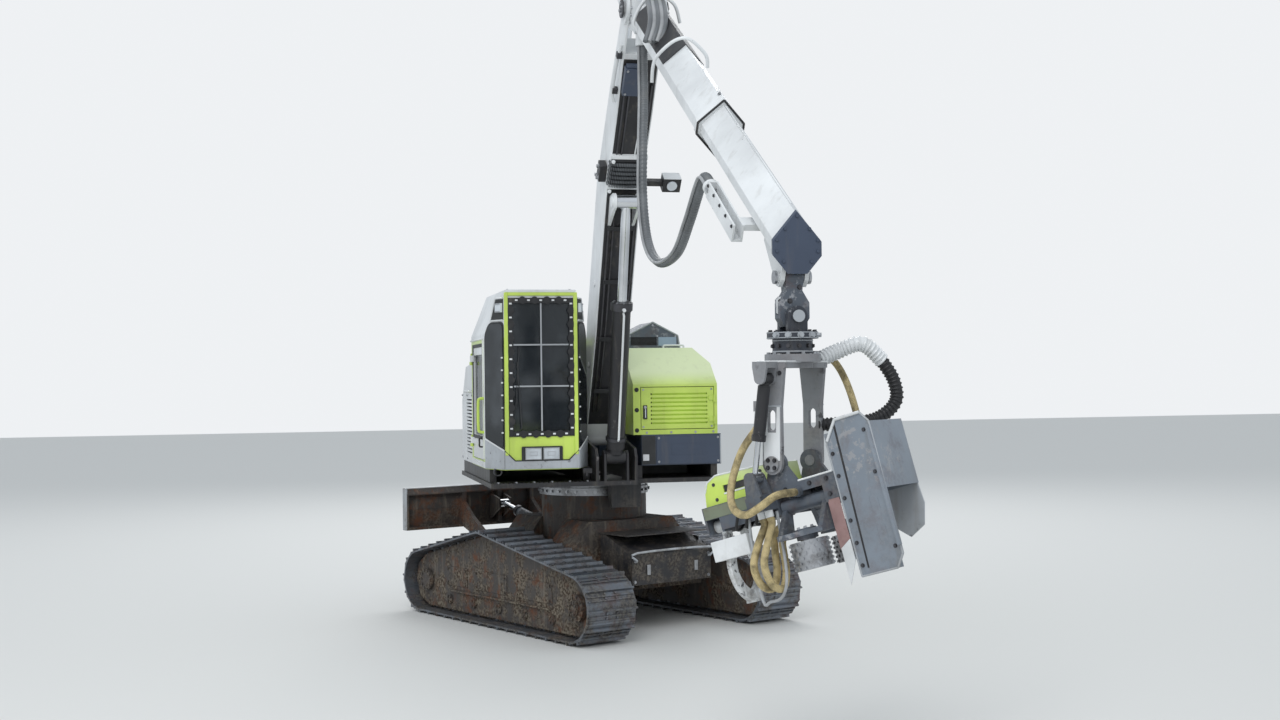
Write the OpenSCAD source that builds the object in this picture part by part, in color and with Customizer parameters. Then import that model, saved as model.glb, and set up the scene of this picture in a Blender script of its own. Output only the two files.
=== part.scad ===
// Tracked forestry harvester: a cab and an engine house on a slewing deck, a kinked main boom,
// a telescopic stick, a link with a rotator, and a harvester head held level.
// The origin is the slew axis on the ground. The crane reaches along -Y, +X is the engine side.

/* [Undercarriage] */
// Angle of the undercarriage under the deck
under_turn = 24; // [-60:1:60]
// Half of the width over the tracks
track_out = 1200; // [1150:10:1350]
// Width of a track shoe
shoe_w = 500; // [400:10:520]
// Distance between the centres of a track's end wheels
wheel_base = 2600; // [2400:20:2800]
// Radius of the belt at the end wheels, to the shoes' inner faces
belt_r = 275; // [260:5:300]
// Height of the belt at the carrier roller, to the shoes' inner faces
belt_top = 850; // [800:10:880]
// Place of the carrier roller along the track
carrier_y = 200; // [100:10:300]
// Thickness of a shoe's plate
shoe_t = 15; // [10:1:20]
// Height of a shoe's bar
grouser_h = 25; // [15:1:35]
// Number of shoes on a track
shoe_count = 44; // [40:1:48]
// Width of the chain under the shoes
chain_w = 160; // [120:10:180]
// Thickness of the chain
chain_t = 50; // [40:1:60]
// Thickness of the track frame's side plates
frame_t = 20; // [12:1:30]
// Radius of the slewing ring
ring_r = 520; // [480:10:540]
// Height of the slewing ring's lower face
ring_z = 1180; // [1160:5:1200]
// Height of the slewing ring
ring_h = 110; // [90:5:120]

/* [Blade] */
// Half of the blade's width
blade_half = 1080; // [950:10:1150]
// Height of the raised blade's lower edge
blade_z = 760; // [740:5:800]
// Height of the blade
blade_h = 420; // [380:5:460]
// Distance from the slew axis to the blade's back
blade_y = 1730; // [1720:5:1760]
// Place of the blade arms' pivot, along and up
blade_pivot = [940, 420];
// Places of the blade cylinder's two pins, along and up
blade_ram_base = [820, 800];
blade_ram_eye = [1630, 985];

/* [Deck] */
// Height of the deck's lower face
deck_z = 1310; // [1300:5:1330]
// Thickness of the deck plate
deck_t = 40; // [25:5:50]
// Distance from the slew axis to the back of the counterweight
tail_r = 1560; // [1480:10:1700]
// Reach of the deck to the engine side
deck_right = 1030; // [1020:5:1080]
// Height of the lower face of the cab and the side boxes
body_z = 1470; // [1460:5:1490]

/* [Cab] */
// Distance from the slew axis to the cab's inner side
cab_in = 222; // [215:1:230]
// Half of the cab's width
cab_half = 458; // [440:2:460]
// Half of the width of the cab's front panel
front_half = 328; // [310:2:340]
// Reach of the cab's front
cab_front = 1100; // [1060:10:1140]
// Reach of the cab's side, where the slanted corner windows start
corner_front = 800; // [760:10:840]
// Place of the cab's back
cab_back = 210; // [180:10:230]
// Height of the cab's roof
cab_top = 3060; // [3000:10:3120]
// Height at which the roof's slanted sides start
roof_slant_z = 2680; // [2640:10:2720]
// Inward reach of the roof's slanted sides
roof_slant_x = 150; // [120:5:170]
// Height at which the roof is bolted to the cab
roof_z = 2640; // [2600:10:2650]
// Thickness of the cab's walls
cab_wall = 45; // [35:5:55]
// Height of the windows' lower edge
sill_z = 1800; // [1780:10:1830]
// Thickness of the window panes
pane_t = 12; // [8:1:16]

/* [Engine house] */
// Inner side of the engine house
hood_in = 205; // [200:5:220]
// Outer side of the engine house
hood_out = 1000; // [980:5:1010]
// Reach of the engine house's front
hood_front = 850; // [820:10:880]
// Reach at which the slanted front meets the top
hood_slope_s = 450; // [400:10:500]
// Height of the engine house's lower edge
hood_z = 1750; // [1740:5:1770]
// Height of the upright part of the front
hood_front_z = 2210; // [2180:10:2240]
// Height of the engine house's top
hood_top = 2550; // [2520:10:2580]
// Place of the engine house's back
hood_back = 1150; // [1100:10:1180]
// Thickness of the engine house's sheets
hood_wall = 25; // [20:1:30]

/* [Crane] */
// Place of the boom's foot pin, forward and up
boom_foot = [300, 1750];
// Place of the boom's kink, forward and up
boom_kink = [1260, 3950];
// Place of the elbow pin, forward and up
elbow = [2330, 5280];
// Width of the boom
boom_w = 300; // [280:5:310]
// Half of the boom's depth at the kink
boom_half = 215; // [200:5:230]
// Thickness of the boom's plates
boom_wall = 12; // [8:1:16]
// Radius of the crane's large pins
pin_r = 45; // [40:1:50]
// Places of the lift cylinder's two pins, forward and up
lift_base = [1000, 1560];
lift_eye = [1575, 3790];
// Places of the stick cylinder's base pin, forward and up
stick_ram_base = [800, 3860];
// Angle of the stick under the horizontal
stick_fall = 31; // [25:1:35]
// Reach of the stick's horn behind the elbow pin
horn = 449; // [430:1:460]
// Place of the outer stick's mouth along the stick
outer_end = 2580; // [2500:10:2650]
// Half of the outer stick's width
stick_half = 155; // [150:1:160]
// Half of the height of the outer stick's upright sides
stick_side = 38; // [34:1:42]
// Half of the outer stick's height, to its top and bottom edges
stick_peak = 195; // [190:1:200]
// Thickness of the stick's plates
stick_wall = 10; // [8:1:12]
// Running gap between the two sticks
slide_gap = 8; // [5:1:10]
// Overlap of the sticks as drawn
slide_overlap = 900; // [850:10:1000]
// Place of the inner stick's end plate along the stick
nose_end = 4400; // [4350:10:4450]
// Place of the tip pin along the stick and under its axis
tip = [4415, -193];

/* [Head carrier] */
// Height of the link's lower pin
link_low_z = 2610; // [2600:1:2620]
// Height of the underside of the rotator
rotator_z = 2345; // [2340:1:2350]
// Height of the head's tilt pivot
tilt_z = 1760; // [1750:1:1770]
// Half of the distance between the yoke's legs
yoke_half = 232; // [230:1:240]
// Thickness of the yoke's plates
yoke_t = 30; // [25:1:35]

/* [Head] */
// Turn of the head about the upright
head_turn = -47; // [-80:1:0]
// Pitch of the head, saw end up
head_pitch = 16; // [0:1:20]
// Half of the width of the head's frame
head_half = 225; // [220:1:228]
// Height of the frame's upper face under the pivot
spine_top = -130; // [-140:1:-120]
// Depth of the frame
spine_h = 150; // [130:5:160]
// Height of the grip's axis under the pivot
grip_z = -520; // [-540:5:-500]
// Radius that the rollers and knives close around
grip_r = 120; // [110:5:130]
// Reach of the saw end
saw_end = 630; // [600:10:650]

/* [Hoses] */
// Diameter of the wrapped hose bundle on the stick
bundle_d = 90; // [80:5:100]
// Diameter of the hoses on the head
hose_d = 44; // [36:2:48]

/* [Hidden] */
$fn = 48;

// Gap between pieces that sit on each other
seat_gap = 0.3;
// Gap between a turning pin and its bore, on the radius
pin_gap = 0.1;
// Gap beside a moving piece
side_gap = 5;

wheel_z = belt_r + shoe_t + grouser_h;
track_mid = track_out - shoe_w / 2;
carrier_r = 120;
deck_top = deck_z + deck_t;
// Distance from the slew axis to the middle of the cab, and the deck's reach to that side
cab_x = cab_in + cab_half;
deck_left = cab_x + cab_half - 8;

// Frames of reference

module in_undercarriage() {
    rotate([0, 0, under_turn]) children();
}

module both_sides() {
    children();
    mirror([1, 0, 0]) children();
}

// A side outline, drawn as forward and up, given the width w from x to x + w
module across(x, w) {
    translate([x + w, 0, 0]) rotate([90, 0, -90]) linear_extrude(w) children();
}

// The same for the undercarriage, whose outlines are drawn as along (+Y) and up
module across_under(x, w) {
    translate([x, 0, 0]) rotate([90, 0, 90]) linear_extrude(w) children();
}

// A bar along X at a place given as forward and up
module cross_bar(at, x, w, r) {
    translate([x, -at[0], at[1]]) rotate([0, 90, 0]) cylinder(r = r, h = w);
}

// The same for the undercarriage
module cross_bar_under(at, x, w, r) {
    translate([x, at[0], at[1]]) rotate([0, 90, 0]) cylinder(r = r, h = w);
}

// Children drawn along +X from a point of the crane's plane, at an angle over the horizontal
module member(at, rise) {
    translate([0, -at[0], at[1]]) rotate([0, -rise, -90]) children();
}

module on_stick() {
    member(elbow, -stick_fall) children();
}

module in_yoke() {
    translate([0, -tip_at[0], tilt_z]) rotate([0, 0, head_turn]) children();
}

module in_head() {
    in_yoke() rotate([0, -head_pitch, 0]) children();
}

function rise_of(a, b) = atan2(b[1] - a[1], b[0] - a[0]);
function span_of(a, b) = norm(b - a);
// A point of the stick's own frame, along and up, as forward and up
function from_stick(p) = elbow + [
    p[0] * cos(stick_fall) - p[1] * -sin(stick_fall),
    -p[0] * sin(stick_fall) + p[1] * cos(stick_fall)
];

tip_at = from_stick(tip);
horn_at = from_stick([-horn, 0]);

// Tracks

// The belt runs around these circles, [along, up, radius], anticlockwise from the lower run
belt_circles = [
    [wheel_base / 2, wheel_z, belt_r],
    [carrier_y, belt_top - carrier_r, carrier_r],
    [-wheel_base / 2, wheel_z, belt_r],
];
function tangent_heading(a, b) =
    atan2(b[1] - a[1], b[0] - a[0]) + asin((a[2] - b[2]) / norm([b[0] - a[0], b[1] - a[1]]));
heading_up = tangent_heading(belt_circles[0], belt_circles[1]);
heading_down = tangent_heading(belt_circles[1], belt_circles[2]) + 360;
function outward(heading) = [sin(heading), -cos(heading)];
function belt_foot(c, heading) = [c[0], c[1]] + c[2] * outward(heading);
function line_leg(a, b, heading) =
    [norm(belt_foot(b, heading) - belt_foot(a, heading)), belt_foot(a, heading), heading, 0];
function arc_leg(c, from, to) = [c[2] * (to - from) * PI / 180, belt_foot(c, from), from, c[2]];
// Each leg is [length, start, heading at the start, radius or 0]
belt_legs = [
    line_leg(belt_circles[2], belt_circles[0], 0),
    arc_leg(belt_circles[0], 0, heading_up),
    line_leg(belt_circles[0], belt_circles[1], heading_up),
    arc_leg(belt_circles[1], heading_up, heading_down),
    line_leg(belt_circles[1], belt_circles[2], heading_down),
    arc_leg(belt_circles[2], heading_down, 360),
];
function total(list, i = 0) = i == len(list) ? 0 : list[i][0] + total(list, i + 1);
shoe_pitch = total(belt_legs) / shoe_count;
function on_leg(leg, t) =
    leg[3] == 0
        ? [leg[1] + t * [cos(leg[2]), sin(leg[2])], leg[2]]
        : let (heading = leg[2] + t / leg[3] * 180 / PI)
            [leg[1] + leg[3] * (outward(heading) - outward(leg[2])), heading];
function on_belt(t, i = 0) =
    t <= belt_legs[i][0] || i == len(belt_legs) - 1
        ? on_leg(belt_legs[i], t)
        : on_belt(t - belt_legs[i][0], i + 1);
// A point at t along the belt and d outside it
function off_belt(t, d) = let (p = on_belt(t)) p[0] + d * outward(p[1]);
// A point of shoe k, at u along the shoe from its middle and d outside the belt
function on_shoe(k, u, d) =
    let (p = on_belt((k + 0.5) * shoe_pitch)) p[0] + u * [cos(p[1]), sin(p[1])] + d * outward(p[1]);
// A shoe's outer outline, as parts of its pitch along and as [share of shoe_t, share of grouser_h]
shoe_outline = [
    [-0.48, 1, 0], [-0.34, 1, 0], [-0.30, 1, 1], [-0.22, 1, 1], [-0.16, 1, 0], [0.40, 1, 0], [0.48, 1, 0.25],
];
function belt_inset(d) = [
    for (c = [0:2], turn = [0:0.25:1])
        let (from = [0, heading_up, heading_down][c], to = [heading_up, heading_down, 360][c])
            belt_foot(belt_circles[c] - [0, 0, d], from + turn * (to - from))
];
// The end wheels lie inside the chain's flats
chain_step = asin(shoe_pitch / 4 / belt_r) * 2;
wheel_r = (belt_r - chain_t) * cos(chain_step / 2) - seat_gap;
lower_run_z = wheel_z - belt_r + chain_t;

module shoes() {
    linear_extrude(shoe_w, center = true) difference() {
        polygon([for (k = [0:shoe_count - 1], p = shoe_outline)
            on_shoe(k, p[0] * shoe_pitch, p[1] * shoe_t + p[2] * grouser_h)]);
        polygon([for (k = [0:2 * shoe_count - 1]) off_belt(k * shoe_pitch / 2, 0)]);
    }
}

module chain() {
    linear_extrude(chain_w, center = true) difference() {
        polygon([for (k = [0:2 * shoe_count - 1]) off_belt(k * shoe_pitch / 2, 2)]);
        polygon([for (k = [0:2 * shoe_count - 1]) off_belt(k * shoe_pitch / 2, -chain_t)]);
    }
}

module tracks() {
    color("dimgray") in_undercarriage() both_sides() translate([track_mid, 0, 0]) rotate([90, 0, 90]) {
        shoes();
        chain();
    }
}

plate_in = track_mid - 130;
plate_out = track_mid + 110;

module track_frames() {
    color("#2c2b2c") in_undercarriage() both_sides() {
        for (x = [plate_in, plate_out])
            across_under(x, frame_t) difference() {
                polygon(belt_inset(28));
                for (y = [-wheel_base / 2, wheel_base / 2])
                    translate([y, wheel_z]) circle(r = wheel_hub_r + seat_gap);
                for (y = roller_places) translate([y, roller_z]) circle(r = axle_r + seat_gap);
                translate([carrier_y, carrier_z]) circle(r = axle_r + seat_gap);
            }
        difference() {
            across_under(plate_in + frame_t, plate_out - plate_in - frame_t)
                polygon([[-960, 300], [960, 300], [900, 520], [-900, 520]]);
            across_under(plate_in + 2 * frame_t, plate_out - plate_in - 3 * frame_t)
                polygon([[-1000, 320], [1000, 320], [1000, 500], [-1000, 500]]);
        }
    }
}

roller_r = 75;
axle_r = 24;
wheel_hub_r = 89;
roller_z = lower_run_z + roller_r + seat_gap;
roller_places = [for (k = [-2:2]) k * wheel_base * 0.17];
carrier_z = belt_top - carrier_r;

module roller(r) {
    cylinder(r = r, h = chain_w - 20, center = true);
    both_ends() translate([0, 0, chain_w / 2 + 2]) cylinder(r = r + 14, h = 12);
    translate([0, 0, -track_mid + plate_in + 4])
        cylinder(r = axle_r, h = plate_out - plate_in + frame_t - 8);
}

module both_ends() {
    children();
    mirror([0, 0, 1]) children();
}

module rollers() {
    color("#3a3836") idlers();
    color("#39383a") in_undercarriage() both_sides() translate([track_mid, 0, 0]) {
        for (y = roller_places) translate([0, y, roller_z]) rotate([0, 90, 0]) roller(roller_r);
        translate([0, carrier_y, carrier_z]) rotate([0, 90, 0]) roller(50);
    }
}

tooth_count = 13;
module sprocket_outline() {
    polygon([for (k = [0:tooth_count - 1], p = [[-0.5, 0.84], [-0.3, 0.84], [-0.12, 1], [0.12, 1], [0.3, 0.84]])
        let (a = (k + p[0]) * 360 / tooth_count) wheel_r * p[1] * [cos(a), sin(a)]]);
}

module sprockets() {
    color("#3a3836") in_undercarriage() both_sides() translate([track_mid, -wheel_base / 2, wheel_z])
        rotate([0, 90, 0]) {
            translate([0, 0, -30]) linear_extrude(60) sprocket_outline();
            translate([0, 0, -125]) cylinder(r = wheel_hub_r, h = 271);
            translate([0, 0, 145]) cylinder(r = 120, h = 40);
            translate([0, 0, 185]) cylinder(r = 70, h = 18);
        }
}

module idlers() {
    in_undercarriage() both_sides() translate([track_mid, wheel_base / 2, wheel_z])
        rotate([0, 90, 0]) difference() {
            union() {
                cylinder(r = wheel_r, h = 120, center = true);
                translate([0, 0, -125]) cylinder(r = wheel_hub_r, h = 266);
                translate([0, 0, 140]) cylinder(r = 105, h = 24);
            }
            both_ends() translate([0, 0, 30]) difference() {
                cylinder(r = wheel_r - 30, h = 40);
                cylinder(r = 110, h = 40);
            }
        }
}

// Centre frame, slewing ring and tool box

hub_r = 500;
leg_x = plate_in;
// The blade's arms turn on pins outside the frame's ears
arm_x = 390;
arm_t = 45;
ear_t = 35;
ear_x = arm_x - side_gap - ear_t;
blade_pin_r = 38;
// Towing eye at the frame's back, along and at its lower face
tow_at = [-760, 340];
tow_r = 28;
tow_t = 30;

module centre_frame() {
    color("#3b3836") in_undercarriage() difference() {
        union() {
            translate([0, 0, 560]) cylinder(r = hub_r, h = ring_z - 560);
            for (y = [-620, 200]) translate([0, y + 420, 0]) rotate([90, 0, 0]) linear_extrude(420)
                polygon([
                    [-leg_x, 300], [leg_x, 300], [leg_x, 540], [470, 960],
                    [-470, 960], [-leg_x, 540],
                ]);
            translate([-380, -700 + seat_gap, 420]) cube([760, 1610, 60]);
            translate([0, tow_at[0], tow_at[1]]) {
                cylinder(r = 50, h = tow_t);
                translate([-50, 0, 0]) cube([100, 150, tow_t]);
            }
            for (x = [-ear_x - ear_t, ear_x]) across_under(x, ear_t) polygon([
                [520, 330], [blade_pivot[0] + 30, blade_pivot[1] - 60], [blade_pivot[0] + 60, blade_pivot[1]],
                [blade_pivot[0] + 30, blade_pivot[1] + 60], [520, 640],
            ]);
            for (x = [-blade_ram[5] / 2 - side_gap - 20, blade_ram[5] / 2 + side_gap]) across_under(x, 20) polygon([
                [430, 470], [900, 470], [blade_ram_base[0] + 45, blade_ram_base[1] + 30],
                [blade_ram_base[0] - 30, blade_ram_base[1] + 40], [470, 720],
            ]);
        }
        translate([0, 0, 620]) cylinder(r = hub_r - 40, h = ring_z);
        for (y = [-600, 220]) translate([0, y + 380, 0]) rotate([90, 0, 0]) linear_extrude(380)
            polygon([
                [-leg_x - 10, 330], [leg_x + 10, 330], [leg_x + 10, 500], [450, 925],
                [-450, 925], [-leg_x - 10, 500],
            ]);
        translate([-600, -100, 290]) cube([1200, 200, 120]);
        translate([0, tow_at[0], tow_at[1] - 1]) cylinder(r = tow_r, h = tow_t + 2);
    }
    color("#3b3836") in_undercarriage() {
        for (x = [-arm_x - arm_t, ear_x + ear_t - 1]) cross_bar_under(blade_pivot, x, arm_x + arm_t + 1 - ear_x - ear_t, blade_pin_r);
        cross_bar_under(blade_ram_base, -blade_ram[5] / 2 - side_gap - 20, blade_ram[5] + 2 * side_gap + 40, blade_ram[4]);
    }
}

module slew_ring() {
    color("#4a4748") difference() {
        union() {
            translate([0, 0, ring_z]) cylinder(r = ring_r, h = ring_h - 40);
            translate([0, 0, ring_z + ring_h - 40]) cylinder(r = ring_r - 25, h = 40);
        }
        translate([0, 0, ring_z - 1]) cylinder(r = ring_r - 75, h = ring_h + 2);
    }
}

module tool_box() {
    color("#34353b") in_undercarriage() {
        difference() {
            translate([-430, -1180, 0]) rotate([90, 0, 90]) linear_extrude(900)
                polygon([[0, 430], [480, 430], [480, 860], [420, 860], [0, 700]]);
            translate([-415, -1180, 0]) rotate([90, 0, 90]) linear_extrude(870)
                polygon([[15, 445], [465, 445], [465, 830], [15, 675]]);
        }
    }
}

// Blade

module blade_profile(inset) {
    difference() {
        polygon([
            [blade_y, blade_z], [blade_y + 90, blade_z], [blade_y + 62, blade_z + blade_h / 2],
            [blade_y + 95, blade_z + blade_h], [blade_y + 40, blade_z + blade_h],
            [blade_y, blade_z + blade_h - 60],
        ]);
        if (inset)
            polygon([
                [blade_y - 1, blade_z + 25], [blade_y + 65, blade_z + 25],
                [blade_y + 40, blade_z + blade_h / 2], [blade_y + 60, blade_z + blade_h - 25],
                [blade_y + 40, blade_z + blade_h - 25], [blade_y - 1, blade_z + blade_h - 70],
            ]);
    }
}

module blade() {
    color("#3d3636") in_undercarriage() {
        across_under(-blade_half, 2 * blade_half) blade_profile(true);
        for (x = [-blade_half, -arm_x - arm_t, -10, arm_x, blade_half - 20])
            across_under(x, abs(x + arm_t / 2) < arm_x + arm_t ? arm_t : 20) blade_profile(false);
        for (x = [-arm_x - arm_t, arm_x]) difference() {
            across_under(x, arm_t) polygon([
                [blade_pivot[0] - 60, blade_pivot[1] - 40], [blade_pivot[0] + 20, blade_pivot[1] - 70],
                [blade_y - 120, blade_z - 40], [blade_y + 5, blade_z + 5], [blade_y + 5, blade_z + 260],
                [blade_y - 160, blade_z + 120], [blade_pivot[0] - 20, blade_pivot[1] + 75],
            ]);
            cross_bar_under(blade_pivot, x - 1, arm_t + 2, blade_pin_r + pin_gap);
        }
        cross_bar_under([blade_pivot[0] + 260, blade_pivot[1] + 110], -arm_x - 1, 2 * arm_x + 2, 45);
        for (x = [-blade_ram[5] / 2 - side_gap - 20, blade_ram[5] / 2 + side_gap]) across_under(x, 20) polygon([
            [blade_y + 45, blade_z + 60], [blade_y + 45, blade_z + 330],
            [blade_ram_eye[0] - 30, blade_ram_eye[1] + 50], [blade_ram_eye[0] - 45, blade_ram_eye[1] - 40],
        ]);
    }
}

// Cylinders are drawn along +X from the base pin, at the origin

// [outer radius, bore radius, rod radius, eye radius, pin radius, eye width]
blade_ram = [48, 38, 27, 42, 20, 108];
lift_ram = [82, 65, 42, 60, 30, 176];
stick_ram = [62, 48, 32, 60, 28, 136];
tilt_ram = [36, 27, 17, 34, 15, 84];

module barrel(ram, length) {
    difference() {
        union() {
            rotate([90, 0, 0]) cylinder(r = ram[3], h = ram[5], center = true);
            translate([ram[3] * 0.6, 0, 0]) rotate([0, 90, 0]) cylinder(r = ram[0] * 0.82, h = ram[0] * 0.8);
            translate([ram[3] * 0.6 + ram[0] * 0.6, 0, 0]) rotate([0, 90, 0])
                cylinder(r = ram[0], h = length - ram[3] * 0.6 - ram[0] * 0.6);
            translate([length - ram[0], 0, 0]) rotate([0, 90, 0]) cylinder(r = ram[0] + 6, h = ram[0]);
        }
        rotate([90, 0, 0]) cylinder(r = ram[4] + pin_gap, h = ram[5] + 2, center = true);
        translate([ram[3] + ram[0], 0, 0]) rotate([0, 90, 0])
            cylinder(r = ram[1], h = length - ram[3] - ram[0] - 40);
        translate([length - 41, 0, 0]) rotate([0, 90, 0]) cylinder(r = ram[2] + pin_gap, h = 50);
    }
}

// The rod's eye is at x = length, its piston at x = tail
module rod(ram, length, tail) {
    translate([tail, 0, 0]) rotate([0, 90, 0]) cylinder(r = ram[1] - pin_gap, h = 50);
    translate([tail, 0, 0]) rotate([0, 90, 0]) cylinder(r = ram[2], h = length - tail);
    translate([length, 0, 0]) rotate([90, 0, 0]) cylinder(r = ram[3], h = ram[5], center = true);
}

blade_ram_length = 560;
module blade_barrel() {
    color("#8a8b90") in_undercarriage() translate([0, blade_ram_base[0], blade_ram_base[1]])
        rotate([0, -rise_of(blade_ram_base, blade_ram_eye), 90]) barrel(blade_ram, blade_ram_length);
}

module blade_rod() {
    color("silver") in_undercarriage() translate([0, blade_ram_base[0], blade_ram_base[1]])
        rotate([0, -rise_of(blade_ram_base, blade_ram_eye), 90])
            rod(blade_ram, span_of(blade_ram_base, blade_ram_eye), 150);
}

// Deck

mast_in = 165;
mast_t = 25;

module main_frame() {
    color("#2f3034") {
        difference() {
            union() {
                translate([0, 0, deck_z]) linear_extrude(deck_t) polygon([
                    [-deck_left, -cab_front + 40], [mast_in + mast_t, -cab_front + 40],
                    [mast_in + mast_t, -hood_front], [deck_right, -hood_front],
                    [deck_right, 1200], [-deck_left, 1200],
                ]);
                translate([0, 0, ring_z + 60]) cylinder(r = ring_r - 75 - pin_gap, h = deck_z - ring_z - 55);
                for (x = [-mast_in - mast_t, mast_in]) across(x, mast_t) polygon([
                    [cab_front - 40, deck_top - 5], [cab_front - 20, 1560], [cab_front - 80, 1640],
                    [500, 1720], [420, 1860], [220, 1860], [80, 1700], [-500, 1480], [-1150, deck_top - 5],
                ]);
                for (x = [-deck_left + 20, -260, 230, deck_right - 90])
                    translate([x, -820, deck_top - 1]) cube([60, 820 + hood_back, body_z - deck_top + 1 - seat_gap]);
                for (x = [-lift_ram[5] / 2 - side_gap - 20, lift_ram[5] / 2 + side_gap]) across(x, 20) polygon([
                    [lift_base[0] - 150, deck_top - 1], [lift_base[0] + 60, deck_top - 1],
                    [lift_base[0] + 60, lift_base[1] + 30], [lift_base[0] + 20, lift_base[1] + 60],
                    [lift_base[0] - 40, lift_base[1] + 60],
                ]);
            }
            translate([0, 0, ring_z]) cylinder(r = 160, h = deck_top - ring_z + 5);
            translate([0, 0, ring_z]) cylinder(r = ring_r - 75 - 60, h = deck_z - ring_z);
        }
        cross_bar(boom_foot, -mast_in - mast_t - 14, 2 * (mast_in + mast_t + 14), pin_r);
        for (x = [-mast_in - mast_t - 14, mast_in + mast_t]) cross_bar(boom_foot, x, 14, 95);
        cross_bar(lift_base, -lift_ram[5] / 2 - side_gap - 20, lift_ram[5] + 2 * side_gap + 40, lift_ram[4]);
        translate([5, -800, 1090]) cube([275, 170, deck_z - 1090 + 5]);
    }
}

module counterweight() {
    color("#454f63") intersection() {
        translate([0, 0, deck_top + seat_gap]) linear_extrude(560) difference() {
            circle(r = tail_r, $fn = 240);
            translate([-2000, -2000]) square([4000, 3160]);
        }
        union() {
            translate([-deck_left, 0, 0]) cube([deck_left + deck_right, 2000, 1900]);
        }
    }
}

module side_box() {
    color("#47536b") difference() {
        translate([280, -hood_front, body_z]) cube([hood_out + 30 - 280, hood_front + 1100, hood_z - body_z - seat_gap]);
        translate([310, -hood_front + 30, body_z - 1]) cube([hood_out - 310, hood_front + 1040, hood_z - body_z + 2]);
    }
}

module engine_block() {
    color("#55514d") translate([340, -120, deck_top + seat_gap]) cube([560, 1000, 840]);
}

// The engine house's side outline, forward and up, smaller by d all round
function hood_side(d) = [
    [-hood_back + d, hood_z - (d > 0 ? 5 : 0)], [hood_front - d, hood_z - (d > 0 ? 5 : 0)],
    [hood_front - d, hood_front_z - d * 0.4], [hood_slope_s - d * 0.4, hood_top - d],
    [-hood_back + d, hood_top - d],
];
// Its front outline, across and up, with the outer top edge cut off
function hood_face(d) = [
    [hood_in + d, hood_z - 10], [hood_out - d, hood_z - 10], [hood_out - d, hood_top - 150],
    [hood_out - 130, hood_top - d + 0], [hood_in + d, hood_top - d],
];
module hood_form(d) {
    intersection() {
        across(hood_in + d, hood_out - hood_in - 2 * d) polygon(hood_side(d));
        translate([0, 1300, 0]) rotate([90, 0, 0]) linear_extrude(2600) polygon(hood_face(d));
    }
}
door_lo = [280, 1800];
door_hi = [965, 2180];
door_gap = 6;

hood_hinge = [door_hi[0] + 3, -hood_front - 12];

module hood() {
    color("#c3e04a") for (z = [door_lo[1] + 60, door_hi[1] - 120]) translate([hood_hinge[0], hood_hinge[1], z]) {
        cylinder(r = 6, h = 50);
        translate([0, 0, -20]) cylinder(r = 9, h = 20);
        translate([0, -9, -20]) cube([23, 18, 20]);
        translate([10, 0, -20]) cube([13, 13, 20]);
    }
    color("#c3e04a") difference() {
        hood_form(0);
        hood_form(hood_wall);
        translate([door_lo[0] - door_gap, -hood_front - 10, door_lo[1] - door_gap])
            cube([door_hi[0] - door_lo[0] + 2 * door_gap, 80, door_hi[1] - door_lo[1] + 2 * door_gap]);
    }
}

module hood_door() {
    color("#c3e04a") for (z = [door_lo[1] + 60, door_hi[1] - 120])
        translate([hood_hinge[0], hood_hinge[1], z + seat_gap]) difference() {
            union() {
                cylinder(r = 11, h = 40);
                translate([-50, 0, 0]) cube([50, 13, 40]);
            }
            cylinder(r = 6 + pin_gap, h = 40);
        }
    color("#c3e04a") difference() {
        union() {
            translate([door_lo[0], -hood_front, door_lo[1]])
                cube([door_hi[0] - door_lo[0], hood_wall, door_hi[1] - door_lo[1]]);
            translate([door_lo[0] + 20, -hood_front - 12, 1900]) cube([30, 14, 110]);
        }
        for (k = [0:7]) translate([door_lo[0] + 90, -hood_front - 1, door_lo[1] + 45 + 38 * k])
            cube([door_hi[0] - door_lo[0] - 150, hood_wall + 2, 16]);
    }
}

module air_box() {
    color("#6d7684") difference() {
        translate([0, 560, 0]) rotate([90, 0, 0]) linear_extrude(560) polygon([
            [340, hood_top + seat_gap], [870, hood_top + seat_gap], [850, 2680], [600, 2810], [360, 2690],
        ]);
        translate([380, -2, 2585]) cube([260, 30, 80]);
    }
}

module rear_box() {
    color("#e6e8e4") difference() {
        across(-deck_left, deck_left - 270) polygon([
            [-cab_back - 25, body_z], [-1100, body_z], [-1100, 2060], [-760, 2400], [-cab_back - 25, 2430],
        ]);
        across(-deck_left + 25, deck_left - 320) polygon([
            [-cab_back - 50, body_z - 5], [-1075, body_z - 5], [-1075, 2040], [-750, 2372], [-cab_back - 50, 2400],
        ]);
        for (k = [0:15]) translate([-deck_left - 5, cab_back + 90, 1560 + 34 * k]) cube([40, 420, 14]);
    }
}

// Cab

// Half of the cab's plan on one side, smaller by d all round, as [across from the middle, forward]
slope_length = norm([corner_front - cab_front, cab_half - front_half]);
function cab_corner(d) = let (
    corner_x = cab_half - d,
    front_s = cab_front - d,
    run = cab_front - corner_front,
    cut = cab_half - front_half
) [
    [corner_x, corner_front - d * (slope_length - run) / cut],
    [front_half - d * (slope_length - cut) / run, front_s],
];
function cab_plan(d) = let (c = cab_corner(d)) [
    for (p = [
        [-cab_half + d, -cab_back + d], [-c[0][0], c[0][1]], [-c[1][0], c[1][1]],
        [c[1][0], c[1][1]], [c[0][0], c[0][1]], [cab_half - d, -cab_back + d],
    ]) [p[0], -p[1]]
];
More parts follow.
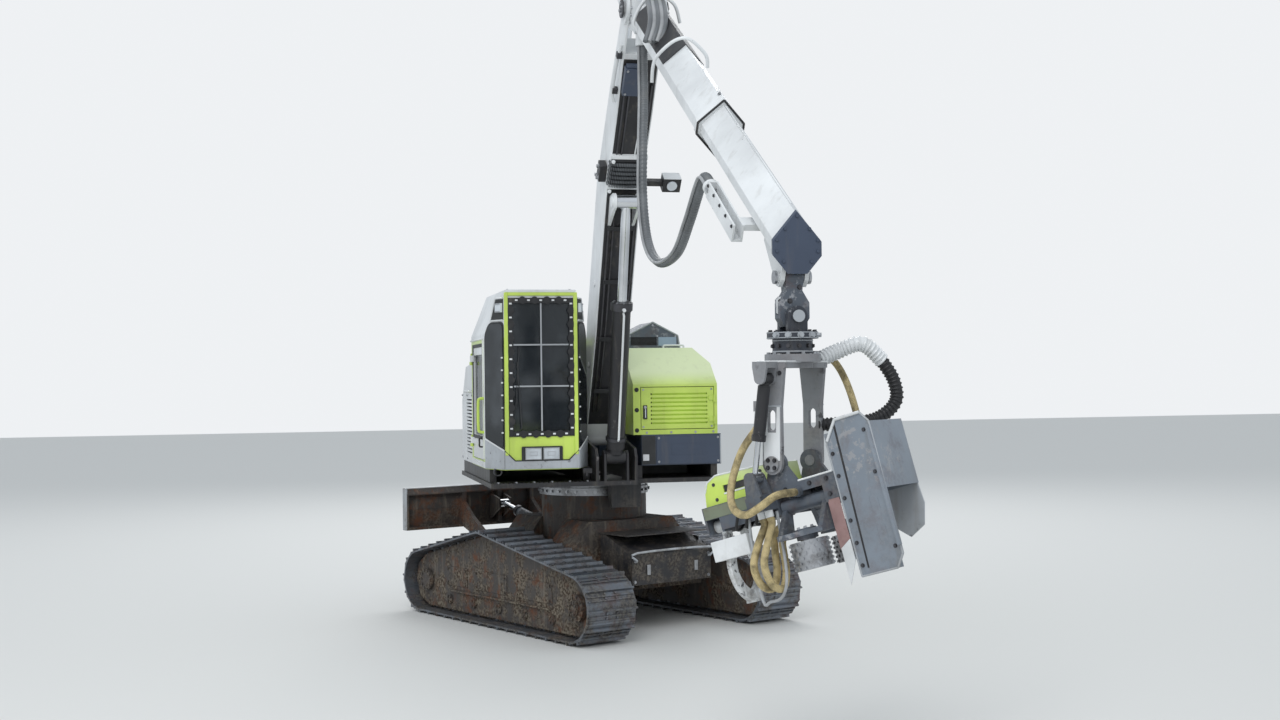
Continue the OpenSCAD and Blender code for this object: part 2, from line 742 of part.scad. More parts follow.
// The cab's front outline, smaller by d all round
function cab_face(d) = [
    [-cab_half + d, body_z + d], [cab_half - d, body_z + d], [cab_half - d, roof_slant_z - d * 0.2],
    [cab_half - roof_slant_x - d * 0.6, cab_top - d], [-cab_half + roof_slant_x + d * 0.6, cab_top - d],
    [-cab_half + d, roof_slant_z - d * 0.2],
];
module cab_form(d) {
    intersection() {
        translate([-cab_x, 0, body_z - 10]) linear_extrude(cab_top - body_z + 20) polygon(cab_plan(d));
        translate([-cab_x, 1000, 0]) rotate([90, 0, 0]) linear_extrude(2600) polygon(cab_face(d));
    }
}

window_top = roof_z - 60;
door_front = 640;
door_back = -100;

module front_window(grow) {
    translate([-cab_x - front_half + 62 - grow, -cab_front - 40, sill_z - grow])
        cube([2 * (front_half - 62 + grow), 120, cab_top - 110 - sill_z + 2 * grow]);
}

// The corner windows lie in the slanted walls
corner_turn = atan2(cab_front - corner_front, cab_half - front_half);
module at_corner(side) {
    translate([-cab_x + side * (cab_half + front_half) / 2, -(cab_front + corner_front) / 2, 0])
        rotate([0, 0, side * corner_turn]) children();
}
module corner_window(side, grow) {
    at_corner(side) translate([-110 - grow, -60, sill_z - 60 - grow])
        cube([220 + 2 * grow, 120, window_top - sill_z + 60 + 2 * grow]);
}

module side_window(grow) {
    translate([-cab_x + cab_half - 80, -corner_front + 60 - grow, sill_z - grow])
        cube([120, corner_front - 60 + cab_back - 80 + 2 * grow, window_top - sill_z + 2 * grow]);
}

module rear_window(grow) {
    translate([-cab_x - 300 - grow, cab_back - 80, 2440 - grow]) cube([600 + 2 * grow, 120, 140 + 2 * grow]);
}

module door_hole(grow) {
    translate([-cab_x - cab_half - 30, -door_front - grow, body_z + 70 - grow])
        cube([110, door_front - door_back + 2 * grow, roof_z - 50 - body_z - 70 + 2 * grow]);
}

hinge_at = [-cab_x - cab_half - 16, -door_back - side_gap];
hinge_heights = [body_z + 200, roof_z - 200];

module cab_body() {
    color("#c3e04a") for (z = hinge_heights) translate([hinge_at[0], hinge_at[1], z]) {
        cylinder(r = 8, h = 80);
        translate([0, 0, -30]) cylinder(r = 14, h = 30);
        translate([-14, 0, -30]) cube([28, 46, 30]);
        translate([0, 20, -30]) cube([18, 26, 30]);
    }
    color("#c3e04a") difference() {
        cab_form(0);
        cab_form(cab_wall);
        translate([-2000, -2000, roof_z]) cube([4000, 4000, 1000]);
        front_window(0);
        for (side = [-1, 1]) corner_window(side, 0);
        side_window(0);
        rear_window(0);
        door_hole(0);
    }
}

module cab_roof() {
    color("#eef0ea") difference() {
        cab_form(0);
        cab_form(cab_wall);
        translate([-2000, -2000, 0]) cube([4000, 4000, roof_z + seat_gap]);
        front_window(0);
        for (side = [-1, 1]) corner_window(side, 0);
    }
}

module cab_door() {
    color("#e6e8e4") for (z = hinge_heights) translate([hinge_at[0], hinge_at[1], z + seat_gap]) difference() {
        union() {
            cylinder(r = 14, h = 60);
            translate([0, -80, 0]) cube([17, 80, 60]);
        }
        cylinder(r = 8 + pin_gap, h = 60);
    }
    color("#e6e8e4") difference() {
        translate([-cab_x - cab_half, -door_front + side_gap, body_z + 70 + side_gap])
            cube([cab_wall, door_front - door_back - 2 * side_gap, roof_z - 50 - body_z - 70 - 2 * side_gap]);
        translate([-cab_x - cab_half - 1, -door_front + 75, sill_z - 40])
            cube([cab_wall + 2, door_front - door_back - 150, roof_z - 120 - sill_z + 20]);
    }
}

module door_glass() {
    color("#39424a", 0.5) translate([-cab_x - cab_half + 15, -door_front + 75 + seat_gap, sill_z - 40 + seat_gap])
        cube([pane_t, door_front - door_back - 150 - 2 * seat_gap, roof_z - 120 - sill_z + 20 - 2 * seat_gap]);
}

module cab_glass() {
    color("#39424a", 0.5) {
        translate([-cab_x - front_half + 62 + seat_gap, -cab_front + 15, sill_z + seat_gap])
            cube([2 * (front_half - 62 - seat_gap), pane_t, cab_top - 110 - sill_z - 2 * seat_gap]);
        for (side = [-1, 1]) at_corner(side)
            translate([-110 + seat_gap, 10, sill_z - 60 + seat_gap])
                cube([220 - 2 * seat_gap, pane_t, window_top - sill_z + 60 - 2 * seat_gap]);
        translate([-cab_x + cab_half - 27, -corner_front + 60 + seat_gap, sill_z + seat_gap])
            cube([pane_t, corner_front - 60 + cab_back - 80 - 2 * seat_gap, window_top - sill_z - 2 * seat_gap]);
        translate([-cab_x - 300 + seat_gap, cab_back - 27, 2440 + seat_gap])
            cube([600 - 2 * seat_gap, pane_t, 140 - 2 * seat_gap]);
    }
}

module front_grid() {
    color("#9aa0a0") {
        for (x = [-cab_x - 8]) translate([x, -cab_front - 14, sill_z + 5]) cube([16, 10, cab_top - 120 - sill_z]);
        for (z = [2140, 2480]) translate([-cab_x - 230, -cab_front - 14, z]) cube([460, 10, 16]);
        for (x = [-cab_x - 270, -cab_x + 250]) translate([x, -cab_front - 16, sill_z - 10]) cube([20, 16 - seat_gap, cab_top - 90 - sill_z]);
        for (x = [-cab_x - 251, -cab_x + 229]) for (z = [2140, 2480]) translate([x, -cab_front - 14, z]) cube([22, 10, 16]);
        for (z = [sill_z - 10, cab_top - 116]) translate([-cab_x - 251, -cab_front - 16, z]) cube([502, 16 - seat_gap, 20]);
    }
}

module cab_lamps() {
    color("#dfe3e8") {
        for (x = [-150, 10]) translate([-cab_x + x, -cab_front - 22, 1562]) cube([140, 22 - seat_gap, 100]);
        for (side = [-1, 1]) at_corner(side) translate([side > 0 ? -150 : 60, -30, 2860]) cube([90, 30 - seat_gap, 80]);
    }
}

module seat() {
    color("#26272a") {
        translate([-cab_x - 240, -330, body_z + cab_wall + 330]) cube([480, 480, 110]);
        translate([-cab_x - 230, 60, body_z + cab_wall + 430]) cube([460, 100, 620]);
        translate([-cab_x - 150, -230, body_z + cab_wall + seat_gap]) cube([300, 300, 331]);
        for (x = [-290, 230]) translate([-cab_x + x, -300, body_z + cab_wall + 520]) cube([60, 330, 60]);
        for (x = [-280, 230]) translate([-cab_x + x, -100, body_z + cab_wall + 400]) cube([50, 60, 130]);
    }
}

module console() {
    color("#1f2022") {
        translate([-cab_x + 240, -700, body_z + cab_wall + seat_gap]) cube([100, 120, 500]);
        translate([-cab_x + 180, -690, body_z + cab_wall + 490]) rotate([0, 0, 20]) cube([190, 30, 150]);
    }
}

// Boom

function beside(p, along, d) = p + d * [along[1], -along[0]];
function unit(v) = v / norm(v);
low_dir = unit(boom_kink - boom_foot);
high_dir = unit(elbow - boom_kink);
kink_dir = unit(low_dir + high_dir);
low_mid = boom_foot + 0.45 * (boom_kink - boom_foot);
high_mid = boom_kink + 0.5 * (elbow - boom_kink);
// The boom's side outline, smaller by d: front edge up, then back edge down
function boom_side(d, end) = [
    beside(boom_foot, low_dir, 110 - d), beside(low_mid, low_dir, boom_half - 5 - d),
    beside(boom_kink, kink_dir, boom_half - d), beside(high_mid, high_dir, boom_half - 25 - d),
    beside(elbow + end * high_dir, high_dir, 115 - d), beside(elbow + end * high_dir, high_dir, d - 115),
    beside(high_mid, high_dir, 25 + d - boom_half), beside(boom_kink, kink_dir, d - boom_half),
    beside(low_mid, low_dir, 5 + d - boom_half), beside(boom_foot, low_dir, d - 110),
];

drum_at = beside(boom_kink, kink_dir, boom_half);
// Reach of the boom's fork round the elbow pin
fork_r = 360;
// Places of the two hose bars along the upper section
hose_bars = [110, 404];

module boom_ears(at, root_a, root_b, x, t, r) {
    for (side = [-1, 1]) {
        across(side > 0 ? x : -x - t, t) union() {
            translate(at) circle(r = r);
            polygon([at + [0, r], at + [0, -r], root_b, root_a]);
        }
        cross_bar(at, side > 0 ? x : -x - t - 14, t + 14, r * 0.62);
    }
}

module boom() {
    color("#e9ebe8") difference() {
        union() {
            across(-boom_w / 2, boom_w) polygon(boom_side(0, 0));
            cross_bar(boom_foot, -boom_w / 2, boom_w, 112);
            cross_bar(elbow, -boom_w / 2 - 16, boom_w + 32, 125);
        }
        difference() {
            across(-boom_w / 2 + boom_wall, boom_w - 2 * boom_wall) polygon(boom_side(15, 0));
            cross_bar(boom_foot, -boom_w / 2, boom_w, 112);
            cross_bar(elbow, -boom_w / 2, boom_w, fork_r + 15);
        }
        cross_bar(elbow, -boom_w / 2 + boom_wall, boom_w - 2 * boom_wall, fork_r);
        cross_bar(boom_foot, -boom_w / 2 - 1, boom_w + 2, pin_r + pin_gap);
    }
    color("#3a3c42") {
        boom_ears(lift_eye, beside(boom_kink, kink_dir, boom_half - 20) + [0, 0],
            beside(boom_kink - 330 * low_dir, low_dir, boom_half - 25), lift_ram[5] / 2 + side_gap, 25, 75);
        boom_ears(stick_ram_base, beside(boom_kink + 60 * high_dir, high_dir, -boom_half + 25),
            beside(boom_kink - 260 * low_dir, low_dir, -boom_half + 25), stick_ram[5] / 2 + side_gap, 20, 60);
        cross_bar(stick_ram_base, -stick_ram[5] / 2 - 20, stick_ram[5] + 40, stick_ram[4]);
        cross_bar(elbow, -boom_w / 2 - 30, boom_w + 60, pin_r);
        on_kink_front() for (x = [hose_bars[0], hose_bars[1]]) translate([x, -boom_w / 2 - 12, -38])
            cube([34, boom_w + 24, 48]);
    }
}

lift_ram_length = 1420;
lift_rise = rise_of(lift_base, lift_eye);
module lift_barrel() {
    color("#2b2c30") member(lift_base, lift_rise) barrel(lift_ram, lift_ram_length);
}

module lift_rod() {
    color("silver") member(lift_base, lift_rise) rod(lift_ram, span_of(lift_base, lift_eye), 900);
}

stick_ram_length = 1250;
stick_ram_rise = rise_of(stick_ram_base, horn_at);
module stick_barrel() {
    color("#2b2c30") member(stick_ram_base, stick_ram_rise) barrel(stick_ram, stick_ram_length);
}

module stick_rod() {
    color("silver") member(stick_ram_base, stick_ram_rise)
        rod(stick_ram, span_of(stick_ram_base, horn_at), 850);
}

// Hoses wrapped across the boom's front at the kink, between two bars
module on_kink_front() {
    member(drum_at, rise_of(drum_at, beside(high_mid, high_dir, boom_half - 25))) children();
}
module hose_drum() {
    color("#232326") on_kink_front() translate([0, 0, -seat_gap]) {
        for (k = [0:5]) translate([hose_bars[0] + 60 + 42 * k, 0, -20]) rotate([90, 0, 0])
            cylinder(r = 20, h = boom_w - 20, center = true);
        translate([hose_bars[0] + 50, -(boom_w - 60) / 2, -25]) cube([230, boom_w - 60, 25]);
    }
}

module boom_lamp() {
    color("#34363c") member(boom_kink + 60 * high_dir, rise_of(boom_kink, elbow)) {
        translate([0, boom_w / 2 + seat_gap, -60]) cube([50, 230, 50]);
        translate([-40, boom_w / 2 + 229, -90]) cube([130, 160, 110]);
    }
}

// Stick

function hex_section(d) = let (
    w = stick_half - d,
    side = stick_side - d * (sqrt(2) - 1),
    peak = stick_peak - d * sqrt(2)
) [[w, -side], [w, side], [0, peak], [-w, side], [-w, -side], [0, -peak]];
inner_skin = stick_wall + slide_gap;
hex_start = 330;

module hex_bar(from, to, d) {
    translate([from, 0, 0]) rotate([90, 0, 90]) linear_extrude(to - from) polygon(hex_section(d));
}

foot_half = boom_w / 2 - boom_wall - side_gap;

module stick_outer() {
    color("#e9ebe8") on_stick() {
        difference() {
            hex_bar(hex_start, outer_end, 0);
            hex_bar(hex_start + 25, outer_end + 1, stick_wall);
        }
        difference() {
            hex_bar(outer_end - 70, outer_end, -9);
            hex_bar(outer_end - 71, outer_end + 1, inner_skin - seat_gap);
        }
    }
    color("#3b4150") on_stick() difference() {
        union() {
            rotate([90, 0, 0]) cylinder(r = 115, h = 2 * foot_half, center = true);
            for (side = [-1, 1]) translate([0, side > 0 ? foot_half : -foot_half + 40, 0]) rotate([90, 0, 0])
                linear_extrude(40) polygon([
                    [-horn, -60], [0, -115], [200, -115], [hex_start + 2, -70], [hex_start + 2, 75],
                    [160, 150], [0, 115], [-horn, 60],
                ]);
            for (side = [-1, 1]) translate([-horn, side > 0 ? foot_half : -foot_half + 40, 0])
                rotate([90, 0, 0]) cylinder(r = 60, h = 40);
            translate([150, -foot_half, -100]) cube([hex_start - 148, 2 * foot_half, 190]);
        }
        rotate([90, 0, 0]) cylinder(r = pin_r + pin_gap, h = 400, center = true);
    }
    color("#3b4150") translate([bundle_route[0][0], bundle_route[0][1], bundle_route[0][2] + seat_gap])
        cylinder(r = bundle_d / 2 + 8, h = 90);
}

inner_tail = outer_end - slide_overlap;
// The link hangs between two cheeks under the nose
link_half = 55;
link_hub = 60;
cheek_in = link_half + side_gap;
cheek_t = 25;
tip_pin_r = 32;

module stick_inner() {
    color("#eef0ee") on_stick() difference() {
        union() {
            difference() {
                hex_bar(inner_tail, nose_end + 200, inner_skin);
                nose_cut(0);
            }
            hex_bar(inner_tail, inner_tail + 60, stick_wall + seat_gap);
            for (side = [-1, 1]) translate([0, side > 0 ? cheek_in + cheek_t : -cheek_in, 0]) rotate([90, 0, 0])
                linear_extrude(cheek_t) polygon([
                    [nose_end - 330, -30], [nose_end - 330, -120], [tip[0] - 60, tip[1] - 40],
                    [tip[0] - 15, tip[1] - 58], [tip[0] + 35, tip[1] - 46], [tip[0] + 58, tip[1] + 10],
                    [nose_end + 60, -100], [nose_end - 20, 0],
                ]);
        }
        link_room();
        difference() {
            hex_bar(inner_tail - 1, nose_end + 300, inner_skin + stick_wall);
            translate([nose_end - 360, -200, -300]) cube([20, 400, 600]);
        }
    }
    color("#3b4150") on_stick() translate([tip[0], 0, tip[1]]) rotate([90, 0, 0])
        cylinder(r = tip_pin_r, h = 2 * (cheek_in + cheek_t + 12), center = true);
}

// Room for the link to swing between the cheeks
module link_room() {
    translate([tip[0], 0, tip[1]]) {
        rotate([90, 0, 0]) cylinder(r = link_hub + 12, h = 2 * cheek_in, center = true);
        rotate([0, -stick_fall, 0]) translate([-20, -cheek_in, -200]) cube([300, 2 * cheek_in, 214]);
    }
}

// The inner stick is cut upright at its nose
module nose_cut(d) {
    translate([nose_end, 0, 0]) rotate([0, -stick_fall, 0]) translate([d, -300, -500]) cube([700, 600, 1000]);
}

module nose_plate() {
    color("#4a5f7e") on_stick() intersection() {
        hex_bar(nose_end - 300, nose_end + 300, inner_skin - 12);
        difference() {
            nose_cut(seat_gap);
            nose_cut(seat_gap + 22);
            link_room();
        }
    }
}

fin_from = 3290;
module hose_fin() {
    color("#eef0ee") on_stick() {
        difference() {
            union() {
                translate([fin_from, -250, -190]) cube([660, 70, 110]);
                translate([fin_from - 40, -215, -135]) rotate([0, 90, 0]) cylinder(r = bundle_d / 2 + 8, h = 41);
            }
            translate([fin_from + 15, -238, -178]) cube([650, 46, 120]);
        }
        difference() {
            translate([fin_from + 540, -181, -120]) cube([110, 110, 40]);
            hex_bar(fin_from + 500, fin_from + 700, inner_skin - seat_gap);
        }
    }
}

// Link, rotator and yoke

module under_tip() {
    translate([0, -tip_at[0], 0]) children();
}

module link() {
    color("#55606f") under_tip() difference() {
        union() {
            translate([0, 0, tip_at[1]]) rotate([0, 90, 0]) cylinder(r = link_hub, h = 2 * link_half, center = true);
            translate([0, 50, 0]) rotate([90, 0, 0]) linear_extrude(100) polygon([
                [-link_half, tip_at[1]], [link_half, tip_at[1]], [48, link_low_z + 150], [90, link_low_z + 80],
                [90, link_low_z - 10], [60, link_low_z - 60], [-60, link_low_z - 60], [-90, link_low_z - 10],
                [-90, link_low_z + 80], [-48, link_low_z + 150],
            ]);
            translate([0, 0, link_low_z]) rotate([90, 0, 0]) cylinder(r = 55, h = 110, center = true);
            translate([-102, 8, link_low_z + 20]) rotate([90, 0, 0]) linear_extrude(16) difference() {
                polygon([[0, 0], [30, -20], [60, 50], [60, 100], [18, 98], [0, 80]]);
                for (z = [26, 72]) translate([24, z]) circle(r = 11);
            }
        }
        translate([0, 0, tip_at[1]]) rotate([0, 90, 0]) cylinder(r = tip_pin_r + pin_gap, h = 170, center = true);
        translate([0, 0, link_low_z]) rotate([90, 0, 0]) cylinder(r = 28 + pin_gap, h = 120, center = true);
    }
}

rotor_h = 45;
shaft_r = 60;

module rotator() {
    color("#3f4754") under_tip() {
        difference() {
            union() {
                for (y = [-100, 60]) translate([-60, y, link_low_z - 130]) cube([120, 40, 140]);
                for (y = [-100, 60]) translate([0, y, link_low_z]) rotate([-90, 0, 0]) cylinder(r = 60, h = 40);
                translate([0, 0, rotator_z + 135]) cylinder(r = 150, h = 40);
                translate([0, 0, rotator_z + rotor_h + side_gap]) cylinder(r = 118, h = 95 - side_gap);
            }
            translate([-100, -60 + 0.01, rotator_z + 175]) cube([200, 119.98, 200]);
            translate([0, 0, rotator_z]) cylinder(r = shaft_r + pin_gap, h = 120);
        }
        translate([0, 0, link_low_z]) rotate([90, 0, 0]) cylinder(r = 28, h = 230, center = true);
    }
}

yoke_top = rotator_z - tilt_z;
// Distance from the yoke's middle to the tilt cylinder's own plane
tilt_y = yoke_half + yoke_t + 20 + 2 * side_gap + tilt_ram[5] / 2;
lug_t = 20;

module yoke() {
    color("#59636f") under_tip() {
        translate([0, 0, rotator_z - 1]) cylinder(r = 165, h = rotor_h + 1);
        translate([0, 0, rotator_z]) cylinder(r = shaft_r, h = 110);
    }
    color("#dfe2e2") in_yoke() {
        translate([-90, -yoke_half - yoke_t, yoke_top - 35]) cube([180, 2 * (yoke_half + yoke_t), 35]);
        translate([0, 0, yoke_top - 36]) cylinder(r = 118, h = 36);
        both_legs() {
            rotate([90, 0, 0]) translate([0, 0, -yoke_half - yoke_t]) linear_extrude(yoke_t) difference() {
                union() {
                    polygon([[-85, yoke_top], [85, yoke_top], [60, 330], [62, 0], [-62, 0], [-60, 330]]);
                    circle(r = 62);
                }
                oval_hole([0, 250], 24, 70);
            }
            translate([0, yoke_half + 1, 0]) rotate([90, 0, 0]) cylinder(r = 32, h = yoke_half + 1 - head_half + 34);
            translate([0, yoke_half + yoke_t - 1, 0]) rotate([-90, 0, 0]) cylinder(r = 45, h = 14);
        }
        translate([-45, -tilt_y - tilt_ram[5] / 2 - side_gap - lug_t, yoke_top - 35])
            cube([90, tilt_y + tilt_ram[5] / 2 + side_gap + lug_t - yoke_half, 35]);
        for (y = [tilt_y - tilt_ram[5] / 2 - side_gap, tilt_y + tilt_ram[5] / 2 + side_gap + lug_t])
            translate([0, -y + lug_t, 0]) rotate([90, 0, 0]) linear_extrude(lug_t) union() {
                translate(tilt_base) circle(r = 34);
                polygon([[-45, yoke_top - 34], [45, yoke_top - 34], tilt_base + [34, 0], tilt_base - [34, 0]]);
            }
        translate([tilt_base[0], -yoke_half - yoke_t + 1, tilt_base[1]]) rotate([90, 0, 0])
            cylinder(r = tilt_ram[4], h = tilt_y + tilt_ram[5] / 2 + side_gap + lug_t - yoke_half - yoke_t);
        translate([tilt_base[0], -yoke_half - yoke_t + 1, tilt_base[1]]) rotate([90, 0, 0])
            cylinder(r = 34, h = lug_t);
        translate([-50, 185, yoke_top - 1]) cube([100, far_route[0][1] - seat_gap - 185, 66]);
        translate([near_route[0][0] - 28, -yoke_half - yoke_t, near_route[0][2] + seat_gap])
            cube([-near_route[0][0] - 28, yoke_t, 60]);
    }
}

module both_legs() {
    children();
    mirror([0, 1, 0]) children();
}

// The tilt cylinder stands outside the near leg: places along and up from the tilt pivot
tilt_base = [0, 490];
tilt_eye = [-95, -55];
tilt_ram_length = 360;
// The same eye as the head's own pitch leaves it
tilt_eye_now = [
    tilt_eye[0] * cos(head_pitch) - tilt_eye[1] * sin(head_pitch),
    tilt_eye[0] * sin(head_pitch) + tilt_eye[1] * cos(head_pitch)
];
module tilt_frame() {
    in_yoke() translate([tilt_base[0], -tilt_y, tilt_base[1]])
        rotate([0, -rise_of(tilt_base, tilt_eye_now), 0]) children();
}
module tilt_barrel() {
    color("#1f2023") tilt_frame() barrel(tilt_ram, tilt_ram_length);
}
module tilt_rod() {
    color("silver") tilt_frame() rod(tilt_ram, span_of(tilt_base, tilt_eye_now), 246);
}

// Harvester head, drawn with the saw end along +X and the grip's axis under the pivot

arm_at = [165, -255];
arm_pin_r = 25;
arm_from = -48;
arm_to = 248;
knife_at = [130, -250];
knife_pin_r = 22;
knife_from = -542;
knife_to = -462;
head_back = -560;
head_front = 340;
sheet_t = 15;
spine_low = spine_top - spine_h;

// Hose ports on the head's two sides
port_x = [100, 150];

// A bar along the head's X axis at a place given as across and up
module head_bar(at, from, to, r) {
    translate([from, at[0], at[1]]) rotate([0, 90, 0]) cylinder(r = r, h = to - from);
}

module head_frame() {
    color("#6f7a85") in_head() {
        difference() {
            translate([head_back, -head_half, spine_low]) cube([head_front - head_back, 2 * head_half, spine_h]);
            translate([head_back + sheet_t, -head_half + sheet_t, spine_low - 1])
                cube([head_front - head_back - 2 * sheet_t, 2 * (head_half - sheet_t), spine_h - sheet_t + 1]);
            both_legs() translate([arm_from - side_gap, head_half - 20, spine_low - 1])
                cube([arm_to - arm_from + 2 * side_gap, 30, 90]);
            both_legs() translate([knife_from - side_gap, head_half - 20, spine_low - 1])
                cube([knife_to - knife_from + 2 * side_gap, 30, 75]);
        }
        for (x = [arm_from - side_gap - sheet_t, arm_to + side_gap, knife_to + side_gap])
            translate([x, -head_half + 1, spine_low - 12]) cube([sheet_t, 2 * head_half - 2, spine_h]);
        translate([head_back, -head_half + 20, spine_low - 12]) cube([sheet_t, 2 * head_half - 40, 20]);
        both_legs() {
            head_bar(arm_at, arm_from - side_gap - sheet_t, arm_to + side_gap + sheet_t, arm_pin_r);
            head_bar(knife_at, head_back, knife_to + side_gap + sheet_t, knife_pin_r);
        }
        both_legs() difference() {
            union() {
                translate([0, head_half - seat_gap, 0]) rotate([90, 0, 0]) cylinder(r = 66, h = 30);
                translate([-110, head_half - 30, spine_top - 1]) rotate([90, 0, 0]) translate([0, 0, -30])
                    linear_extrude(30) polygon([[0, 0], [220, 0], [172, 100], [110, 170], [48, 100]]);
            }
            translate([0, head_half + 5, 0]) rotate([90, 0, 0]) cylinder(r = 32 + pin_gap, h = 60);
        }
        translate([tilt_eye[0] - 60, -tilt_y - tilt_ram[5] / 2 - side_gap - lug_t, spine_low + 30])
            cube([100, tilt_y + tilt_ram[5] / 2 + side_gap + lug_t - head_half + 1, spine_h - 60]);
        for (side = [-1, 1]) translate([port_x[side < 0 ? 0 : 1], side * (head_half + 45 / 2 - 1), -190])
            rotate([90, 0, 0]) cylinder(r = 28, h = 47, center = true);
        for (y = [tilt_y - tilt_ram[5] / 2 - side_gap, tilt_y + tilt_ram[5] / 2 + side_gap + lug_t])
            translate([0, -y + lug_t, 0]) rotate([90, 0, 0]) linear_extrude(lug_t) union() {
                translate(tilt_eye) circle(r = 34);
                polygon([[tilt_eye[0] - 34, tilt_eye[1]], [tilt_eye[0] + 34, tilt_eye[1]],
                    [tilt_eye[0] + 50, spine_top - 40], [tilt_eye[0] - 50, spine_top - 40]]);
            }
    }
}

// Place of the head hood's round end
hood_tail = -530;

module head_hood() {
    color("#cbe35a") in_head() difference() {
        translate([0, 190, 0]) rotate([90, 0, 0]) linear_extrude(380) {
            polygon([
                [hood_tail - 15, spine_top + seat_gap], [-80, spine_top + seat_gap], [-80, 20], [hood_tail + 95, 40],
                [hood_tail + 30, 12], [hood_tail, -45],
            ]);
            translate([hood_tail + 80, -48]) circle(r = 80);
        }
        for (y = [-191, 181]) translate([hood_tail + 130, y, -70]) cube([230, 10, 42]);
        translate([-500, -175, spine_top]) cube([405, 350, 60]);
    }
}

saw_low = -300;
saw_top = 80;
saw_half = 215;
saw_at = [-154, -310];
saw_x = 476;
saw_pin_r = 14;
saw_range_end = -740;

side_plate_t = 16;

// A slot with round ends, standing upright at a place
module oval_hole(at, r, rise) {
    for (k = [-1, 1]) translate(at + [0, k * rise / 2]) circle(r = r);
    translate(at - [r, rise / 2]) square([2 * r, rise]);
}

module saw_box() {
    color("#8d99a8") in_head() {
        difference() {
            translate([head_front + seat_gap, -saw_half, saw_low]) cube([saw_end - head_front, 2 * saw_half, saw_top - saw_low]);
            translate([head_front + seat_gap + 12, -saw_half + 12, saw_low - 1])
                cube([saw_end - head_front - 24, 2 * (saw_half - 12), saw_top - saw_low - 11]);
        }
        translate([0, -saw_half + side_plate_t, 0]) rotate([90, 0, 0]) linear_extrude(side_plate_t) difference() {
            polygon([
                [head_front + seat_gap, saw_range_end], [saw_end - 60, saw_range_end], [saw_end - 10, saw_range_end + 70],
                [saw_end + seat_gap, saw_top], [saw_end - 40, saw_top + 60], [head_front + 90, saw_top + 60],
                [head_front + seat_gap, saw_top - 60],
            ]);
            for (z = [saw_low - 230, saw_low - 70]) oval_hole([saw_end - 95, z], 26, 60);
        }
        translate([saw_end - 16, -saw_half - 30, saw_low - 320]) cube([16, 31, saw_top - saw_low + 300]);
        for (x = [400, saw_x + 14]) translate([x, -saw_half + 1, saw_range_end]) cube([70, 95, 450]);
        head_bar(saw_at, 460, 500, saw_pin_r);
    }
}

module saw_bar() {
    color("#b9bcc0") in_head() difference() {
        union() {
            head_bar(saw_at, saw_x, saw_x + 8, 36);
            translate([saw_x, 0, 0]) rotate([90, 0, 90]) linear_extrude(8) polygon([
                saw_at + [-34, -2], saw_at + [-30, -390], saw_at + [-20, -414],
                saw_at + [20, -414], saw_at + [30, -390], saw_at + [34, -2],
            ]);
        }
        head_bar(saw_at, saw_x - 1, saw_x + 9, saw_pin_r + pin_gap);
    }
}

roller_at = [100, grip_r + 140];
roller_top = -470;
roller_h = 160;
roller_out = 110;

module right_side(side) {
    mirror([0, side > 0 ? 0 : 1, 0]) children();
}

module feed_arm(side) {
    color("#5d666f") in_head() right_side(side) {
        difference() {
            union() {
                head_bar(arm_at, arm_from, arm_to, 42);
                for (x = [arm_from, arm_to - 30]) translate([x, 0, 0]) rotate([90, 0, 90]) linear_extrude(30)
                    polygon([
                        arm_at + [-38, -12], arm_at + [36, -16], [roller_at[1] + 60, -400],
                        [roller_at[1] + 85, -440], [roller_at[1] - 75, -440], [150, -320],
                    ]);
                translate([arm_from, roller_at[1] - 75, -440]) cube([arm_to - arm_from, 160, 30]);
                translate([roller_at[0], roller_at[1], roller_top + 8]) cylinder(r = 62, h = 62);
            }
            head_bar(arm_at, arm_from - 1, arm_to + 1, arm_pin_r + pin_gap);
            translate([roller_at[0], roller_at[1], roller_top]) cylinder(r = 45 + pin_gap, h = 56);
        }
    }
}

module feed_roller(side) {
    color("#46484c") in_head() right_side(side) translate([roller_at[0], roller_at[1], roller_top - roller_h]) {
        cylinder(r = roller_out, h = roller_h);
        cylinder(r = 45, h = roller_h + 50);
    }
}

module knife(side) {
    color("#7f858b") in_head() right_side(side) {
        difference() {
            union() {
                head_bar(knife_at, knife_from, knife_to, 38);
                translate([side > 0 ? knife_from + 5 : knife_from + 45, 0, 0]) rotate([90, 0, 90]) linear_extrude(30) {
                    difference() {
                        translate([0, grip_z]) circle(r = grip_r + 90);
                        translate([0, grip_z]) circle(r = grip_r + 20);
                        translate([-400, grip_z - 300]) square([370, 700]);
                        translate([-400, grip_z + 100]) square([800, 400]);
                    }
                    polygon([knife_at + [-30, -10], knife_at + [34, -10], [180, grip_z + 99], [105, grip_z + 95]]);
                }
            }
            head_bar(knife_at, knife_from - 1, knife_to + 1, knife_pin_r + pin_gap);
        }
    }
}

module feed_arm_left() { feed_arm(-1); }
module feed_arm_right() { feed_arm(1); }
module feed_roller_left() { feed_roller(-1); }
module feed_roller_right() { feed_roller(1); }
module knife_left() { knife(-1); }
module knife_right() { knife(1); }

// Hoses

// A tube of 8 sides swept along points, its rings carried along without twist
function along(points, k) = unit(points[min(k + 1, len(points) - 1)] - points[max(k - 1, 0)]);
function across(s, a) = unit(s - (s * a) * a);
function sides_along(points) = [
    for (k = 0, s = [0.6, 0.64, 0.48]; k < len(points); k = k + 1, s = across(s, along(points, k - 1))) s
];
function ring_at(centre, along, side, r, n) = let (
    s = across(side, along),
    up = cross(s, along)
) [for (j = [0:n - 1]) centre + r * (cos(360 * j / n) * s + sin(360 * j / n) * up)];

